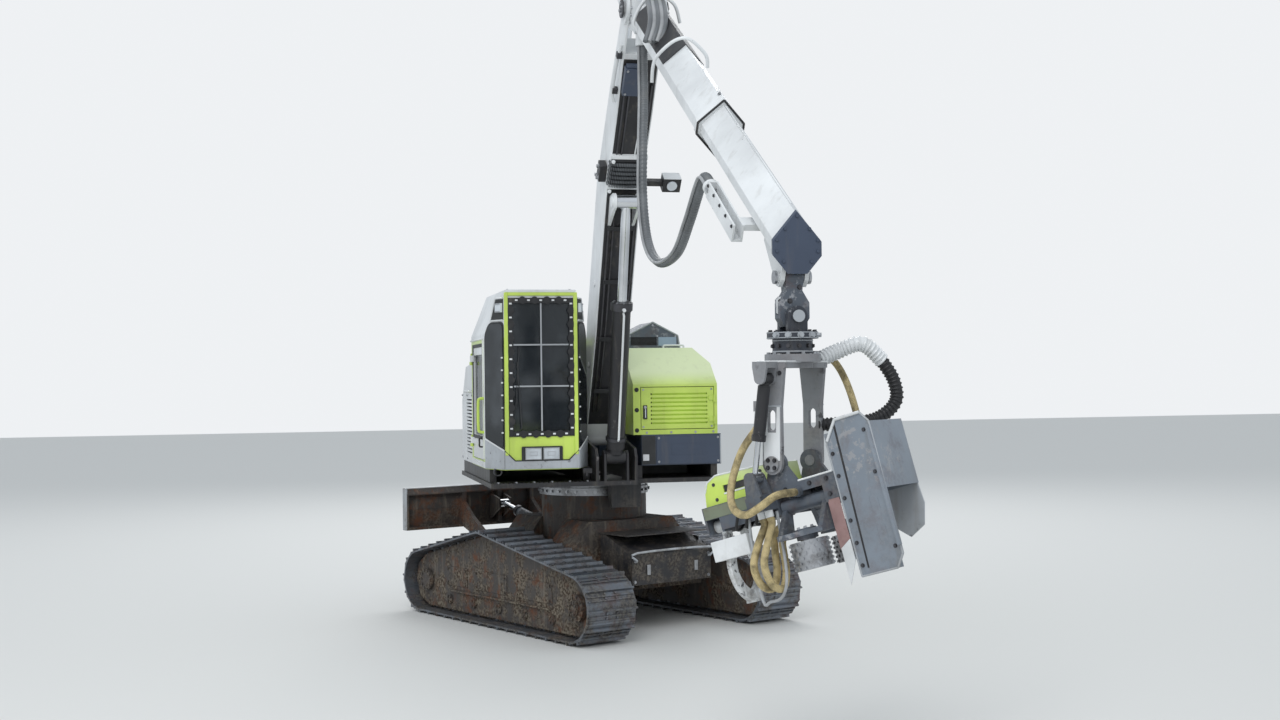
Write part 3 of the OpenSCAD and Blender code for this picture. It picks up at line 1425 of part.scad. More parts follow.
module tube(points, d) {
    sides = 8;
    n = len(points);
    lay = sides_along(points);
    polyhedron(
        points = [for (k = [0:n - 1]) each ring_at(points[k], along(points, k), lay[k], d / 2, sides)],
        faces = concat(
            [[for (j = [0:sides - 1]) j]],
            [[for (j = [0:sides - 1]) n * sides - 1 - j]],
            [for (k = [0:n - 2], j = [0:sides - 1])
                [k * sides + j, (k + 1) * sides + j, (k + 1) * sides + (j + 1) % sides, k * sides + (j + 1) % sides]]
        )
    );
}

// A smooth curve through hand-set points
function curve_point(p, i, t) = let (
    a = p[max(i - 1, 0)],
    b = p[i],
    c = p[i + 1],
    d = p[min(i + 2, len(p) - 1)]
) 0.5 * (2 * b + (c - a) * t + (2 * a - 5 * b + 4 * c - d) * t ^ 2 + (3 * b - a - 3 * c + d) * t ^ 3);
function curve(p, steps) = [
    for (i = [0:len(p) - 2], k = [0:steps - 1]) curve_point(p, i, k / steps), p[len(p) - 1]
];

// Routes, in millimetres
bundle_route = [
    [-80, -2600, 4920], [-80, -2600, 4700], [-80, -2600, 4480], [-100, -2640, 4150], [-120, -2700, 3700],
    [-130, -2900, 3320], [-150, -3350, 3130], [-180, -4000, 3150], [-205, -4450, 3330],
    [-213, -4770, 3530], [-215, -4900, 3568], [-215, -5033, 3498],
];
module hose_bundle() {
    color("#1d1e20") tube(curve(bundle_route, 6), bundle_d);
}

far_route = [
    [0, 263, 617], [0, 300, 617], [0, 345, 620], [40, 425, 600], [90, 475, 500], [150, 490, 330], [205, 470, 120],
    [202, 425, -70], [196.6, 360, -141.3], [196.6, 315, -141.3], [196.6, 271, -141.3],
];
near_route = [
    [-92, -247, 300], [-92, -247, 262], [-92, -247, 224], [-165, -315, 80], [-205, -360, -80], [-190, -410, -200],
    [-130, -450, -265], [-50, -470, -275], [40, -470, -225], [110, -450, -172],
    [146, -405, -155], [148.5, -355, -155.1], [148.5, -312, -155.1], [148.5, -271, -155.1],
];
module head_hoses() {
    color("#c9ab6b") in_yoke() for (route = [far_route, near_route]) tube(curve(route, 4), hose_d);
}

upper_route = [
    [-130, -300, -251], [-130, -300, -290], [-130, -300, -330], [-168, -365, -430], [-195, -420, -540],
    [-192, -390, -650], [-178, -300, -680], [-168, -228, -600], [-160, -203, -480], [-140, -200, -395],
    [-96, -200, -358], [-74, -200, -355], [-61, -200, -355], [-48.3, -200, -355],
];
lower_route = [
    [-80, -300, -251], [-80, -300, -290], [-80, -300, -330], [-102, -365, -430], [-122, -425, -540],
    [-124, -400, -655], [-116, -305, -695], [-112, -228, -620], [-110, -203, -520], [-102, -200, -445],
    [-80, -200, -410], [-68, -200, -405], [-58, -200, -405], [-48.3, -200, -405],
];
module arm_hoses() {
    color("#c9ab6b") in_head() for (route = [upper_route, lower_route]) tube(curve(route, 3), hose_d);
}

centre_frame();
track_frames();
tracks();
sprockets();
rollers();
slew_ring();
tool_box();
blade();
blade_barrel();
blade_rod();
main_frame();
counterweight();
side_box();
engine_block();
hood();
hood_door();
air_box();
rear_box();
cab_body();
cab_roof();
cab_door();
door_glass();
cab_glass();
front_grid();
cab_lamps();
seat();
console();
boom();
lift_barrel();
lift_rod();
stick_barrel();
stick_rod();
hose_drum();
boom_lamp();
stick_outer();
stick_inner();
nose_plate();
hose_fin();
link();
rotator();
yoke();
tilt_barrel();
tilt_rod();
head_frame();
head_hood();
saw_box();
saw_bar();
feed_arm_left();
feed_arm_right();
feed_roller_left();
feed_roller_right();
knife_left();
knife_right();
hose_bundle();
head_hoses();
arm_hoses();
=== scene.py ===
"""Dresses the tracked forestry harvester: finishes, cords, bolts, seals, louvres, pins and fittings."""
import math

import bmesh
import bpy
from bpy.props import FloatProperty, FloatVectorProperty, IntProperty, PointerProperty
from mathutils import Matrix, Vector


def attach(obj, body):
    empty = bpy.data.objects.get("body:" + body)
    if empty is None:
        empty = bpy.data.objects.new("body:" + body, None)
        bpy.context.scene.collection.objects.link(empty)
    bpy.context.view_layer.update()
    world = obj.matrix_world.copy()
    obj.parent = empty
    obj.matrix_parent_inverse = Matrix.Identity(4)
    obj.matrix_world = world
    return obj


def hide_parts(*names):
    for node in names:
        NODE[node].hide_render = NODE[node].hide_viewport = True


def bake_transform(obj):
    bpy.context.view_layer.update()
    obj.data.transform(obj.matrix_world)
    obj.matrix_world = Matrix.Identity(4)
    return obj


bl_info = {
    "name": "Forestry harvester dressing",
    "version": (1, 0, 0),
    "blender": (4, 5, 0),
    "location": "View3D > Sidebar > Harvester",
    "description": "Finishes and fine detail of a tracked forestry harvester",
    "category": "Object",
}

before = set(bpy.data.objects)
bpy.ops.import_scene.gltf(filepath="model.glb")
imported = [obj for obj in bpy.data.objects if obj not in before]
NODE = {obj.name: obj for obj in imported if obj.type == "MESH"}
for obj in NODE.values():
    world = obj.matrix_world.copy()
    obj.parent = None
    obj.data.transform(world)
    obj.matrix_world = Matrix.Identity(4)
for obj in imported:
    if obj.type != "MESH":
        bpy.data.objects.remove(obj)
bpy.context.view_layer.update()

# Frames of the machine's own parts, in metres

UNDER = Matrix.Rotation(math.radians(24), 4, "Z")
FALL = math.radians(31)
TIP_REACH = 6.0149
PIVOT = Vector((0, -TIP_REACH, 1.760))
YOKE = Matrix.Translation(PIVOT) @ Matrix.Rotation(math.radians(-47), 4, "Z")
HEAD = YOKE @ Matrix.Rotation(math.radians(-16), 4, "Y")

# Settings


class FinishSettings(bpy.types.PropertyGroup):
    lime: FloatVectorProperty(name="Lime paint", description="Colour of the cab and the engine house",
                              subtype="COLOR", size=3, default=(0.62, 0.80, 0.14))
    white: FloatVectorProperty(name="White paint", description="Colour of the crane and the roof",
                               subtype="COLOR", size=3, default=(0.80, 0.82, 0.83))
    slate: FloatVectorProperty(name="Slate paint", description="Colour of the boxes under the engine house",
                               subtype="COLOR", size=3, default=(0.060, 0.080, 0.125))
    sleeve: FloatVectorProperty(name="Hose sleeve", description="Colour of the woven sleeves on the head",
                                subtype="COLOR", size=3, default=(0.62, 0.50, 0.26))
    mud: FloatProperty(name="Mud", description="Amount of mud on the undercarriage", min=0, max=1,
                       default=0.75)


class HoseSettings(bpy.types.PropertyGroup):
    bundle: FloatProperty(name="Bundle", description="Diameter of the wrapped bundle on the stick",
                          unit="LENGTH", min=0.06, max=0.12, default=0.090)
    hose: FloatProperty(name="Hose", description="Diameter of a hose on the head",
                        unit="LENGTH", min=0.03, max=0.06, default=0.044)
    rib: FloatProperty(name="Rib pitch", description="Distance between the wrap's ribs",
                       unit="LENGTH", min=0.01, max=0.05, default=0.026)


class FastenerSettings(bpy.types.PropertyGroup):
    bolt: FloatProperty(name="Bolt", description="Width of a bolt's head", unit="LENGTH",
                        min=0.01, max=0.05, default=0.026)
    ring_bolts: IntProperty(name="Ring bolts", description="Bolts round the slewing ring", min=12, max=60,
                            default=36)


# Node helpers


def add(tree, kind, **values):
    """A node with its properties and its inputs set: inputs by name or number, given as i_name or i_0."""
    node = tree.nodes.new(kind)
    for key, value in values.items():
        if key.startswith("i_"):
            name = key[2:]
            socket = node.inputs[int(name)] if name.isdigit() else node.inputs[name.replace("_", " ")]
            if hasattr(value, "links") or hasattr(value, "is_linked"):
                tree.links.new(value, socket)
            else:
                socket.default_value = value
        else:
            setattr(node, key, value)
    return node


def mix(tree, factor, a, b):
    """Mixes two colours, each a colour or a socket."""
    node = tree.nodes.new("ShaderNodeMix")
    node.data_type = "RGBA"
    node.clamp_factor = True
    for socket, value in ((node.inputs[0], factor), (node.inputs[6], a), (node.inputs[7], b)):
        if hasattr(value, "is_linked"):
            tree.links.new(value, socket)
        elif isinstance(value, (int, float)):
            socket.default_value = value
        else:
            socket.default_value = (*value[:3], 1)
    return node.outputs[2]


def math_node(tree, operation, a, b=0.0, clamp=False):
    node = tree.nodes.new("ShaderNodeMath")
    node.operation = operation
    node.use_clamp = clamp
    for socket, value in ((node.inputs[0], a), (node.inputs[1], b)):
        if hasattr(value, "is_linked"):
            tree.links.new(value, socket)
        else:
            socket.default_value = value
    return node.outputs[0]


def ramp(tree, value, low, high):
    """0 below low, 1 above high, smooth between them."""
    node = add(tree, "ShaderNodeMapRange", interpolation_type="SMOOTHSTEP")
    tree.links.new(value, node.inputs["Value"])
    node.inputs["From Min"].default_value = low
    node.inputs["From Max"].default_value = high
    return node.outputs[0]


def noise(tree, vector, scale, detail=4, rough=0.55):
    node = add(tree, "ShaderNodeTexNoise", i_Scale=scale, i_Detail=detail, i_Roughness=rough)
    tree.links.new(vector, node.inputs["Vector"])
    return node.outputs["Fac"]


def new_material(name):
    material = bpy.data.materials.new(name)
    material.use_nodes = True
    tree = material.node_tree
    tree.nodes.clear()
    out = tree.nodes.new("ShaderNodeOutputMaterial")
    shader = tree.nodes.new("ShaderNodeBsdfPrincipled")
    tree.links.new(shader.outputs[0], out.inputs[0])
    place = tree.nodes.new("ShaderNodeTexCoord").outputs["Object"]
    return material, tree, shader, place


def add_bump(tree, shader, height, strength, distance):
    bump = add(tree, "ShaderNodeBump", i_Strength=strength, i_Distance=distance)
    tree.links.new(height, bump.inputs["Height"])
    tree.links.new(bump.outputs[0], shader.inputs["Normal"])


# Colours that more than one finish uses
DUST = (0.20, 0.17, 0.13)
SOIL = (0.055, 0.038, 0.025)
BARE = (0.32, 0.33, 0.35)
RUST = (0.16, 0.055, 0.020)


def paint(name, colour, rough=0.38, metal=0.0, chip=0.0, under=BARE, dirt=0.35, dirt_top=1.6, rust=0.0,
          coat=0.0, highlight_heights=None):
    """Machine paint: patchy colour, rain streaks, chips to the metal, dust and mud near the ground, and,
    where heights are given, a painted highlight on the upper faces.
    """
    material, tree, shader, place = new_material(name)
    broad = noise(tree, place, 1.1, 5)
    fine = noise(tree, place, 42.0, 3)
    stretched = add(tree, "ShaderNodeMapping", i_Scale=(9.0, 9.0, 0.8))
    tree.links.new(place, stretched.inputs["Vector"])
    streak = noise(tree, stretched.outputs[0], 1.6, 5, 0.6)
    dark = tuple(c * 0.80 for c in colour)
    light = tuple(min(1.0, c * 1.06) for c in colour)
    tone = mix(tree, ramp(tree, broad, 0.35, 0.68), dark, light)
    height = add(tree, "ShaderNodeSeparateXYZ")
    tree.links.new(place, height.inputs[0])
    # Painted highlight: above the two given heights the colour turns to a pale tint of itself, which stands
    # for the light on the upper faces.
    if highlight_heights:
        highlight_colour = tuple(0.45 * c + 0.52 for c in colour)
        tone = mix(tree, math_node(tree, "MULTIPLY", ramp(tree, height.outputs["Z"], *highlight_heights), 0.85), tone,
                   highlight_colour)
    streaks = math_node(tree, "MULTIPLY", ramp(tree, streak, 0.52, 0.72), dirt * 0.75)
    tone = mix(tree, streaks, tone, DUST)
    roughness = math_node(tree, "ADD", math_node(tree, "MULTIPLY", broad, 0.16), rough - 0.08)
    if chip:
        spots = noise(tree, place, 17.0, 6, 0.72)
        large = noise(tree, place, 2.3, 3)
        mask = math_node(tree, "MULTIPLY", ramp(tree, spots, 0.70 - chip * 0.22, 0.74 - chip * 0.20),
                         ramp(tree, large, 0.44, 0.60))
        tone = mix(tree, mask, tone, under)
    if rust:
        bloom = noise(tree, place, 6.0, 7, 0.7)
        tone = mix(tree, math_node(tree, "MULTIPLY", ramp(tree, bloom, 0.48, 0.66), rust), tone, RUST)
        roughness = math_node(tree, "ADD", roughness,
                              math_node(tree, "MULTIPLY", ramp(tree, bloom, 0.5, 0.66), 0.3))
    low = ramp(tree, math_node(tree, "MULTIPLY", height.outputs["Z"], -1.0), -dirt_top, -dirt_top * 0.15)
    patches = noise(tree, place, 5.5, 6, 0.68)
    mud = math_node(tree, "MULTIPLY", low, ramp(tree, patches, 0.40, 0.62))
    mud = math_node(tree, "MULTIPLY", mud, min(1.0, dirt * 1.8), True)
    tone = mix(tree, mud, tone, mix(tree, ramp(tree, fine, 0.4, 0.6), SOIL, DUST))
    roughness = math_node(tree, "ADD", roughness, math_node(tree, "MULTIPLY", mud, 0.5), True)
    tree.links.new(tone, shader.inputs["Base Color"])
    tree.links.new(roughness, shader.inputs["Roughness"])
    shader.inputs["Metallic"].default_value = metal
    shader.inputs["Coat Weight"].default_value = coat
    add_bump(tree, shader, math_node(tree, "ADD", math_node(tree, "MULTIPLY", fine, 0.35), mud), 0.35, 0.003)
    return material


def metal(name, colour, rough, streaks=0.0, grime=0.0):
    """Bare metal with turning marks, handling scratches and grime."""
    material, tree, shader, place = new_material(name)
    broad = noise(tree, place, 3.0, 5)
    fine = noise(tree, place, 90.0, 4)
    tone = mix(tree, ramp(tree, broad, 0.3, 0.7), tuple(c * 0.72 for c in colour), colour)
    if grime:
        spots = noise(tree, place, 9.0, 6, 0.7)
        tone = mix(tree, math_node(tree, "MULTIPLY", ramp(tree, spots, 0.45, 0.65), grime), tone,
                   (0.05, 0.04, 0.03))
    tree.links.new(tone, shader.inputs["Base Color"])
    roughness = math_node(tree, "ADD", math_node(tree, "MULTIPLY", broad, 0.25 + streaks * 0.2), rough - 0.1,
                          True)
    tree.links.new(roughness, shader.inputs["Roughness"])
    shader.inputs["Metallic"].default_value = 1.0
    add_bump(tree, shader, fine, 0.12 + 0.2 * streaks, 0.001)
    return material


def plain(name, colour, rough, bump=0.15, scale=60.0):
    """Moulded rubber or plastic: a slightly uneven colour with a fine grain."""
    material, tree, shader, place = new_material(name)
    broad = noise(tree, place, 4.0, 4)
    fine = noise(tree, place, scale, 4)
    tone = mix(tree, ramp(tree, broad, 0.3, 0.7), tuple(c * 0.75 for c in colour),
               tuple(min(1, c * 1.2) for c in colour))
    tree.links.new(mix(tree, math_node(tree, "MULTIPLY", ramp(tree, broad, 0.55, 0.75), 0.25), tone, DUST),
                   shader.inputs["Base Color"])
    tree.links.new(math_node(tree, "ADD", math_node(tree, "MULTIPLY", broad, 0.2), rough - 0.1, True),
                   shader.inputs["Roughness"])
    add_bump(tree, shader, fine, bump, 0.002)
    return material


def woven(name, colour, dark, length_scale=1.0):
    """A braided sleeve: two crossing rows of strands that follow the hose's own length and girth."""
    material, tree, shader, place = new_material(name)
    uv = tree.nodes.new("ShaderNodeUVMap").outputs[0]
    parts = add(tree, "ShaderNodeSeparateXYZ")
    tree.links.new(uv, parts.inputs[0])
    u, v = parts.outputs["X"], parts.outputs["Y"]
    rows = []
    for sign in (1.0, -1.0):
        slope = math_node(tree, "ADD", math_node(tree, "MULTIPLY", u, 12.0 * sign),
                          math_node(tree, "MULTIPLY", v, 95.0 * length_scale))
        rows.append(math_node(tree, "SINE", math_node(tree, "MULTIPLY", slope, 2 * math.pi)))
    weave = math_node(tree, "MAXIMUM", rows[0], rows[1])
    patches = noise(tree, place, 11.0, 5, 0.65)
    tone = mix(tree, ramp(tree, patches, 0.40, 0.66), colour, tuple(c * 0.35 for c in colour))
    tone = mix(tree, ramp(tree, math_node(tree, "MULTIPLY", weave, -1.0), 0.0, 0.9), tone, dark)
    tree.links.new(tone, shader.inputs["Base Color"])
    shader.inputs["Roughness"].default_value = 0.75
    add_bump(tree, shader, weave, 0.5, 0.0015)
    return material


def glass(name, colour, alpha):
    """Tinted safety glass with a film of dust."""
    material, tree, shader, place = new_material(name)
    film = noise(tree, place, 2.5, 5)
    tree.links.new(mix(tree, ramp(tree, film, 0.45, 0.75), colour, tuple(c * 2.2 + 0.02 for c in colour)),
                   shader.inputs["Base Color"])
    tree.links.new(math_node(tree, "ADD", math_node(tree, "MULTIPLY", film, 0.10), 0.02),
                   shader.inputs["Roughness"])
    shader.inputs["Alpha"].default_value = alpha
    shader.inputs["Specular IOR Level"].default_value = 0.6
    return material


MAT = {}


def build_finishes(f):
    MAT["lime"] = paint("lime paint", f.lime, 0.34, dirt=0.16, dirt_top=1.9, coat=0.3)
    # Painted highlight: the engine house's hood and the head's hood turn paler above these heights for the
    # light on their upper faces. The head's hood also has real chips.
    MAT["hood lime"] = paint("lime paint, painted highlight on top", f.lime, 0.34, dirt=0.12, dirt_top=1.9, coat=0.3,
                             highlight_heights=(2.16, 2.34))
    MAT["head lime"] = paint("worn lime paint, painted highlight on top", f.lime, 0.38, dirt=0.20, dirt_top=1.9, chip=0.3,
                             highlight_heights=(1.60, 1.78))
    MAT["white"] = paint("white paint", f.white, 0.36, dirt=0.22, dirt_top=1.9, chip=0.12,
                         under=(0.10, 0.10, 0.11), coat=0.2)
    MAT["head white"] = paint("worn white paint", tuple(c * 0.86 for c in f.white), 0.45, chip=0.75,
                              under=(0.07, 0.07, 0.08), dirt=0.42, dirt_top=3.0)
    MAT["yoke grey"] = paint("worn light grey paint", (0.30, 0.31, 0.33), 0.42, chip=0.7,
                             under=(0.08, 0.08, 0.09), dirt=0.36,
                             dirt_top=3.0, rust=0.1)
    MAT["slate"] = paint("slate paint", f.slate, 0.40, dirt=0.22, dirt_top=1.7)
    MAT["dark"] = paint("dark paint", (0.022, 0.022, 0.025), 0.45, chip=0.4, under=(0.13, 0.12, 0.12),
                        dirt=0.3,
                        dirt_top=1.8)
    MAT["grey"] = paint("worn blue-grey paint", (0.115, 0.135, 0.165), 0.42, metal=0.2, chip=0.8, under=BARE,
                        dirt=0.36, dirt_top=2.6, rust=0.25)
    MAT["saw grey"] = paint("light blue-grey paint", (0.27, 0.31, 0.36), 0.40, metal=0.2, chip=0.8,
                            under=BARE,
                            dirt=0.30, dirt_top=2.0, rust=0.18)
    MAT["frame"] = paint("undercarriage paint", (0.060, 0.052, 0.048), 0.6, chip=0.3,
                         under=(0.14, 0.12, 0.11),
                         dirt=0.5 + 0.5 * f.mud, dirt_top=1.35, rust=0.7)
    MAT["shoe"] = paint("worn shoe steel", (0.20, 0.22, 0.25), 0.36, metal=0.7, dirt=0.5 * f.mud,
                        dirt_top=1.2,
                        rust=0.35)
    MAT["lug"] = paint("dark blue-grey paint", (0.045, 0.052, 0.068), 0.40, metal=0.1, chip=0.6, under=BARE,
                       dirt=0.3,
                       dirt_top=2.6)
    MAT["chrome"] = metal("polished rod", (0.80, 0.82, 0.85), 0.16)
    MAT["steel"] = metal("ground steel", (0.46, 0.47, 0.49), 0.36, 0.6, 0.55)
    MAT["zinc"] = metal("plated fitting", (0.52, 0.53, 0.55), 0.34, 0.2, 0.2)
    MAT["dark steel"] = metal("oiled steel", (0.12, 0.12, 0.13), 0.42, 0.3, 0.4)
    MAT["rubber"] = plain("black rubber", (0.020, 0.020, 0.022), 0.55)
    MAT["wrap"] = plain("dark ribbed wrap", (0.14, 0.15, 0.16), 0.36)
    MAT["plastic"] = plain("black plastic", (0.025, 0.026, 0.028), 0.5, 0.1)
    MAT["cloth"] = plain("seat cloth", (0.045, 0.045, 0.050), 0.9, 0.5, 400.0)
    MAT["engine"] = plain("engine casting", (0.12, 0.12, 0.12), 0.6, 0.4, 30.0)
    MAT["sleeve"] = woven("tan braided sleeve", f.sleeve, (0.12, 0.09, 0.04))
    MAT["glass"] = glass("tinted glass", (0.018, 0.022, 0.026), 0.86)
    MAT["clear glass"] = glass("side glass", (0.03, 0.04, 0.04), 0.55)
    MAT["lens"] = plain("clear lens", (0.62, 0.66, 0.70), 0.12, 0.3, 30.0)
    MAT["guard"] = paint("light grey paint", (0.42, 0.44, 0.46), 0.4, chip=0.2, dirt=0.2, dirt_top=1.7)
    MAT["pale"] = paint("pale grey paint", (0.46, 0.49, 0.52), 0.40, chip=0.5, under=(0.16, 0.16, 0.17),
                        dirt=0.28, dirt_top=2.0,
                        rust=0.10)
    MAT["pale blue"] = paint("pale blue paint", (0.36, 0.46, 0.58), 0.40, dirt=0.15)
    MAT["olive"] = paint("worn grey-olive paint", (0.20, 0.23, 0.16), 0.45, chip=0.7, dirt=0.35,
                         dirt_top=2.4, rust=0.2)
    MAT["worn red"] = paint("worn primer", (0.42, 0.26, 0.25), 0.5, metal=0.2, chip=0.8, dirt=0.3,
                            dirt_top=2.0, rust=0.3)
    MAT["reflector"] = plain("white reflector", (0.75, 0.76, 0.78), 0.2, 0.4, 220.0)
    MAT["bright hose"] = plain("grey hose", (0.34, 0.35, 0.36), 0.4)


NODE_FINISH = {
    "lime": ["cab_body", "hood_door"],
    "hood lime": ["hood"],
    "head lime": ["head_hood"],
    "white": ["cab_roof", "cab_door", "rear_box", "boom", "stick_outer", "stick_inner", "hose_fin"],
    "head white": ["knife_left", "knife_right"],
    "yoke grey": ["yoke"],
    "slate": ["counterweight", "side_box", "nose_plate"],
    "dark": ["main_frame", "tool_box", "lift_barrel", "stick_barrel", "tilt_barrel", "boom_lamp"],
    "grey": ["link", "head_frame", "feed_arm_left", "feed_arm_right", "air_box", "blade_barrel"],
    "lug": ["rotator"],
    "saw grey": ["saw_box"],
    "frame": ["centre_frame", "track_frames", "rollers", "sprockets", "blade"],
    "shoe": ["tracks"],
    "chrome": ["blade_rod", "lift_rod", "stick_rod", "tilt_rod"],
    "steel": ["slew_ring", "saw_bar", "feed_roller_left", "feed_roller_right", "front_grid"],
    "engine": ["engine_block"],
    "glass": ["cab_glass"],
    "clear glass": ["door_glass"],
    "lens": ["cab_lamps"],
    "cloth": ["seat"],
    "plastic": ["console"],
    "rubber": ["hose_drum"],
}


def finish_nodes():
    for finish, names in NODE_FINISH.items():
        for name in names:
            node = NODE[name]
            node.data.materials.clear()
            node.data.materials.append(MAT[finish])


# Mesh helpers


def mesh_piece(name, bm, finish, body, bevel=0.0):
    """Turns a bmesh drawn in place into a piece that rides on a body."""
    mesh = bpy.data.meshes.new(name)
    bmesh.ops.recalc_face_normals(bm, faces=bm.faces)
    bm.to_mesh(mesh)
    bm.free()
    return place_piece(name, mesh, finish, body, bevel)


def place_piece(name, mesh, finish, body, bevel=0.0):
    piece = bpy.data.objects.new(name, mesh)
    bpy.context.scene.collection.objects.link(piece)
    mesh.materials.clear()
    mesh.materials.append(MAT[finish])
    mesh.shade_smooth()
    mesh.set_sharp_from_angle(angle=math.radians(35))
    if bevel:
        chamfer = piece.modifiers.new("Edges", "BEVEL")
        chamfer.width = bevel
        chamfer.segments = 2
        chamfer.limit_method = "ANGLE"
        chamfer.angle_limit = math.radians(40)
    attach(piece, body)
    return piece


def add_box(bm, place, low, high):
    corners = [place @ Vector((x, y, z)) for z in (low[2], high[2]) for y in (low[1],
        high[1]) for x in (low[0], high[0])]
    v = [bm.verts.new(c) for c in corners]
    for f in ((0, 2, 3, 1), (4, 5, 7, 6), (0, 1, 5, 4), (2, 6, 7, 3), (0, 4, 6, 2), (1, 3, 7, 5)):
        bm.faces.new([v[k] for k in f])


def add_prism(bm, place, outline, thick):
    """A plate from an outline of (x, y) points, thick along the frame's Z, starting at 0."""
    rings = [[bm.verts.new(place @ Vector((x, y, z))) for x, y in outline] for z in (0.0, thick)]
    n = len(outline)
    bm.faces.new(rings[0][::-1])
    bm.faces.new(rings[1])
    for k in range(n):
        bm.faces.new((rings[0][k], rings[0][(k + 1) % n], rings[1][(k + 1) % n], rings[1][k]))


def add_bar(bm, a, b, radius, sides=16, far_radius=None):
    """A round bar from a to b."""
    a, b = Vector(a), Vector(b)
    turn = (b - a).to_track_quat("Z", "Y").to_matrix().to_4x4()
    place = Matrix.Translation((a + b) / 2) @ turn
    bmesh.ops.create_cone(bm, cap_ends=True, segments=sides, radius1=radius,
                          radius2=radius if far_radius is None else far_radius, depth=(b - a).length,
                          matrix=place)


def smooth_path(points, steps):
    """A Catmull-Rom curve through points, as the part's own hoses are laid."""
    p = [Vector(q) for q in points]
    out = []
    for i in range(len(p) - 1):
        a, b, c, d = p[max(i - 1, 0)], p[i], p[i + 1], p[min(i + 2, len(p) - 1)]
        for k in range(steps):
            t = k / steps
            out.append(0.5 * (2 * b + (c - a) * t + (2 * a - 5 * b + 4 * c - d) * t ** 2
                              + (3 * b - a - 3 * c + d) * t ** 3))
    out.append(p[-1])
    return out


def path_length(path):
    return sum((b - a).length for a, b in zip(path, path[1:]))


def tube_mesh(name, path, radius, sides=16):
    """A tube along a path, its rings carried along without twist, with a UV map in metres along the path."""
    mesh = bpy.data.meshes.new(name)
    bm = bmesh.new()
    uv = bm.loops.layers.uv.new("UVMap")
    n = len(path)
    ways = [(path[min(k + 1, n - 1)] - path[max(k - 1, 0)]).normalized() for k in range(n)]
    side = Vector((0.6, 0.64, 0.48))
    rings, run = [], [0.0]
    for k in range(n):
        side = (side - side.dot(ways[k]) * ways[k]).normalized()
        up = ways[k].cross(side)
        r = radius(k / (n - 1)) if callable(radius) else radius
        rings.append([bm.verts.new(path[k] + r * (math.cos(t) * side + math.sin(t) * up))
                      for t in (2 * math.pi * j / sides for j in range(sides))])
        if k:
            run.append(run[-1] + (path[k] - path[k - 1]).length)
    for k in range(n - 1):
        for j in range(sides):
            i = (j + 1) % sides
            face = bm.faces.new((rings[k][j], rings[k][i], rings[k + 1][i], rings[k + 1][j]))
            for loop, (u, v) in zip(face.loops, ((j, run[k]), (j + 1, run[k]), (j + 1, run[k + 1]),
                                                 (j, run[k + 1]))):
                loop[uv].uv = (u / sides, v)
    for ring, flip in ((rings[0], True), (rings[-1], False)):
        face = bm.faces.new(ring[::-1] if flip else ring)
        for loop in face.loops:
            loop[uv].uv = (0, 0)
    bmesh.ops.recalc_face_normals(bm, faces=bm.faces)
    bm.to_mesh(mesh)
    bm.free()
    return mesh


# Geometry Nodes: what repeats


def new_group(name, sockets):
    tree = bpy.data.node_groups.new(name, "GeometryNodeTree")
    tree.interface.new_socket("Geometry", in_out="INPUT", socket_type="NodeSocketGeometry")
    for label, kind, default in sockets:
        socket = tree.interface.new_socket(label, in_out="INPUT", socket_type=kind)
        if default is not None:
            socket.default_value = default
    tree.interface.new_socket("Geometry", in_out="OUTPUT", socket_type="NodeSocketGeometry")
    return tree, tree.nodes.new("NodeGroupInput"), tree.nodes.new("NodeGroupOutput")


def end_group(tree, source, finish, out):
    real = tree.nodes.new("GeometryNodeRealizeInstances")
    tree.links.new(source, real.inputs[0])
    coat = tree.nodes.new("GeometryNodeSetMaterial")
    coat.inputs["Material"].default_value = finish
    tree.links.new(real.outputs[0], coat.inputs[0])
    tree.links.new(coat.outputs[0], out.inputs[0])


def bolt_tree(finish):
    """Hexagon heads on washers at points that carry an axis attribute."""
    tree, inp, out = new_group("Bolts " + finish.name,
                               [("Width", "NodeSocketFloat", 0.026), ("Height", "NodeSocketFloat", 0.012)])
    axis = add(tree, "GeometryNodeInputNamedAttribute", data_type="FLOAT_VECTOR", i_Name="axis")
    turn = add(tree, "FunctionNodeAlignRotationToVector", axis="Z")
    tree.links.new(axis.outputs["Attribute"], turn.inputs["Vector"])
    radius = add(tree, "ShaderNodeMath", operation="MULTIPLY", i_1=0.5)
    tree.links.new(inp.outputs["Width"], radius.inputs[0])
    washer_r = add(tree, "ShaderNodeMath", operation="MULTIPLY", i_1=0.68)
    tree.links.new(inp.outputs["Width"], washer_r.inputs[0])
    head = add(tree, "GeometryNodeMeshCylinder", i_Vertices=6)
    tree.links.new(radius.outputs[0], head.inputs["Radius"])
    tree.links.new(inp.outputs["Height"], head.inputs["Depth"])
    lift = add(tree, "GeometryNodeTransform")
    offset = add(tree, "ShaderNodeCombineXYZ")
    half = add(tree, "ShaderNodeMath", operation="MULTIPLY", i_1=0.5)
    tree.links.new(inp.outputs["Height"], half.inputs[0])
    tree.links.new(half.outputs[0], offset.inputs["Z"])
    tree.links.new(offset.outputs[0], lift.inputs["Translation"])
    tree.links.new(head.outputs["Mesh"], lift.inputs[0])
    washer = add(tree, "GeometryNodeMeshCylinder", i_Vertices=14, i_Depth=0.004)
    tree.links.new(washer_r.outputs[0], washer.inputs["Radius"])
    both = tree.nodes.new("GeometryNodeJoinGeometry")
    tree.links.new(lift.outputs[0], both.inputs[0])
    tree.links.new(washer.outputs["Mesh"], both.inputs[0])
    copies = tree.nodes.new("GeometryNodeInstanceOnPoints")
    tree.links.new(inp.outputs["Geometry"], copies.inputs["Points"])
    tree.links.new(both.outputs[0], copies.inputs["Instance"])
    tree.links.new(turn.outputs[0], copies.inputs["Rotation"])
    end_group(tree, copies.outputs[0], finish, out)
    return tree


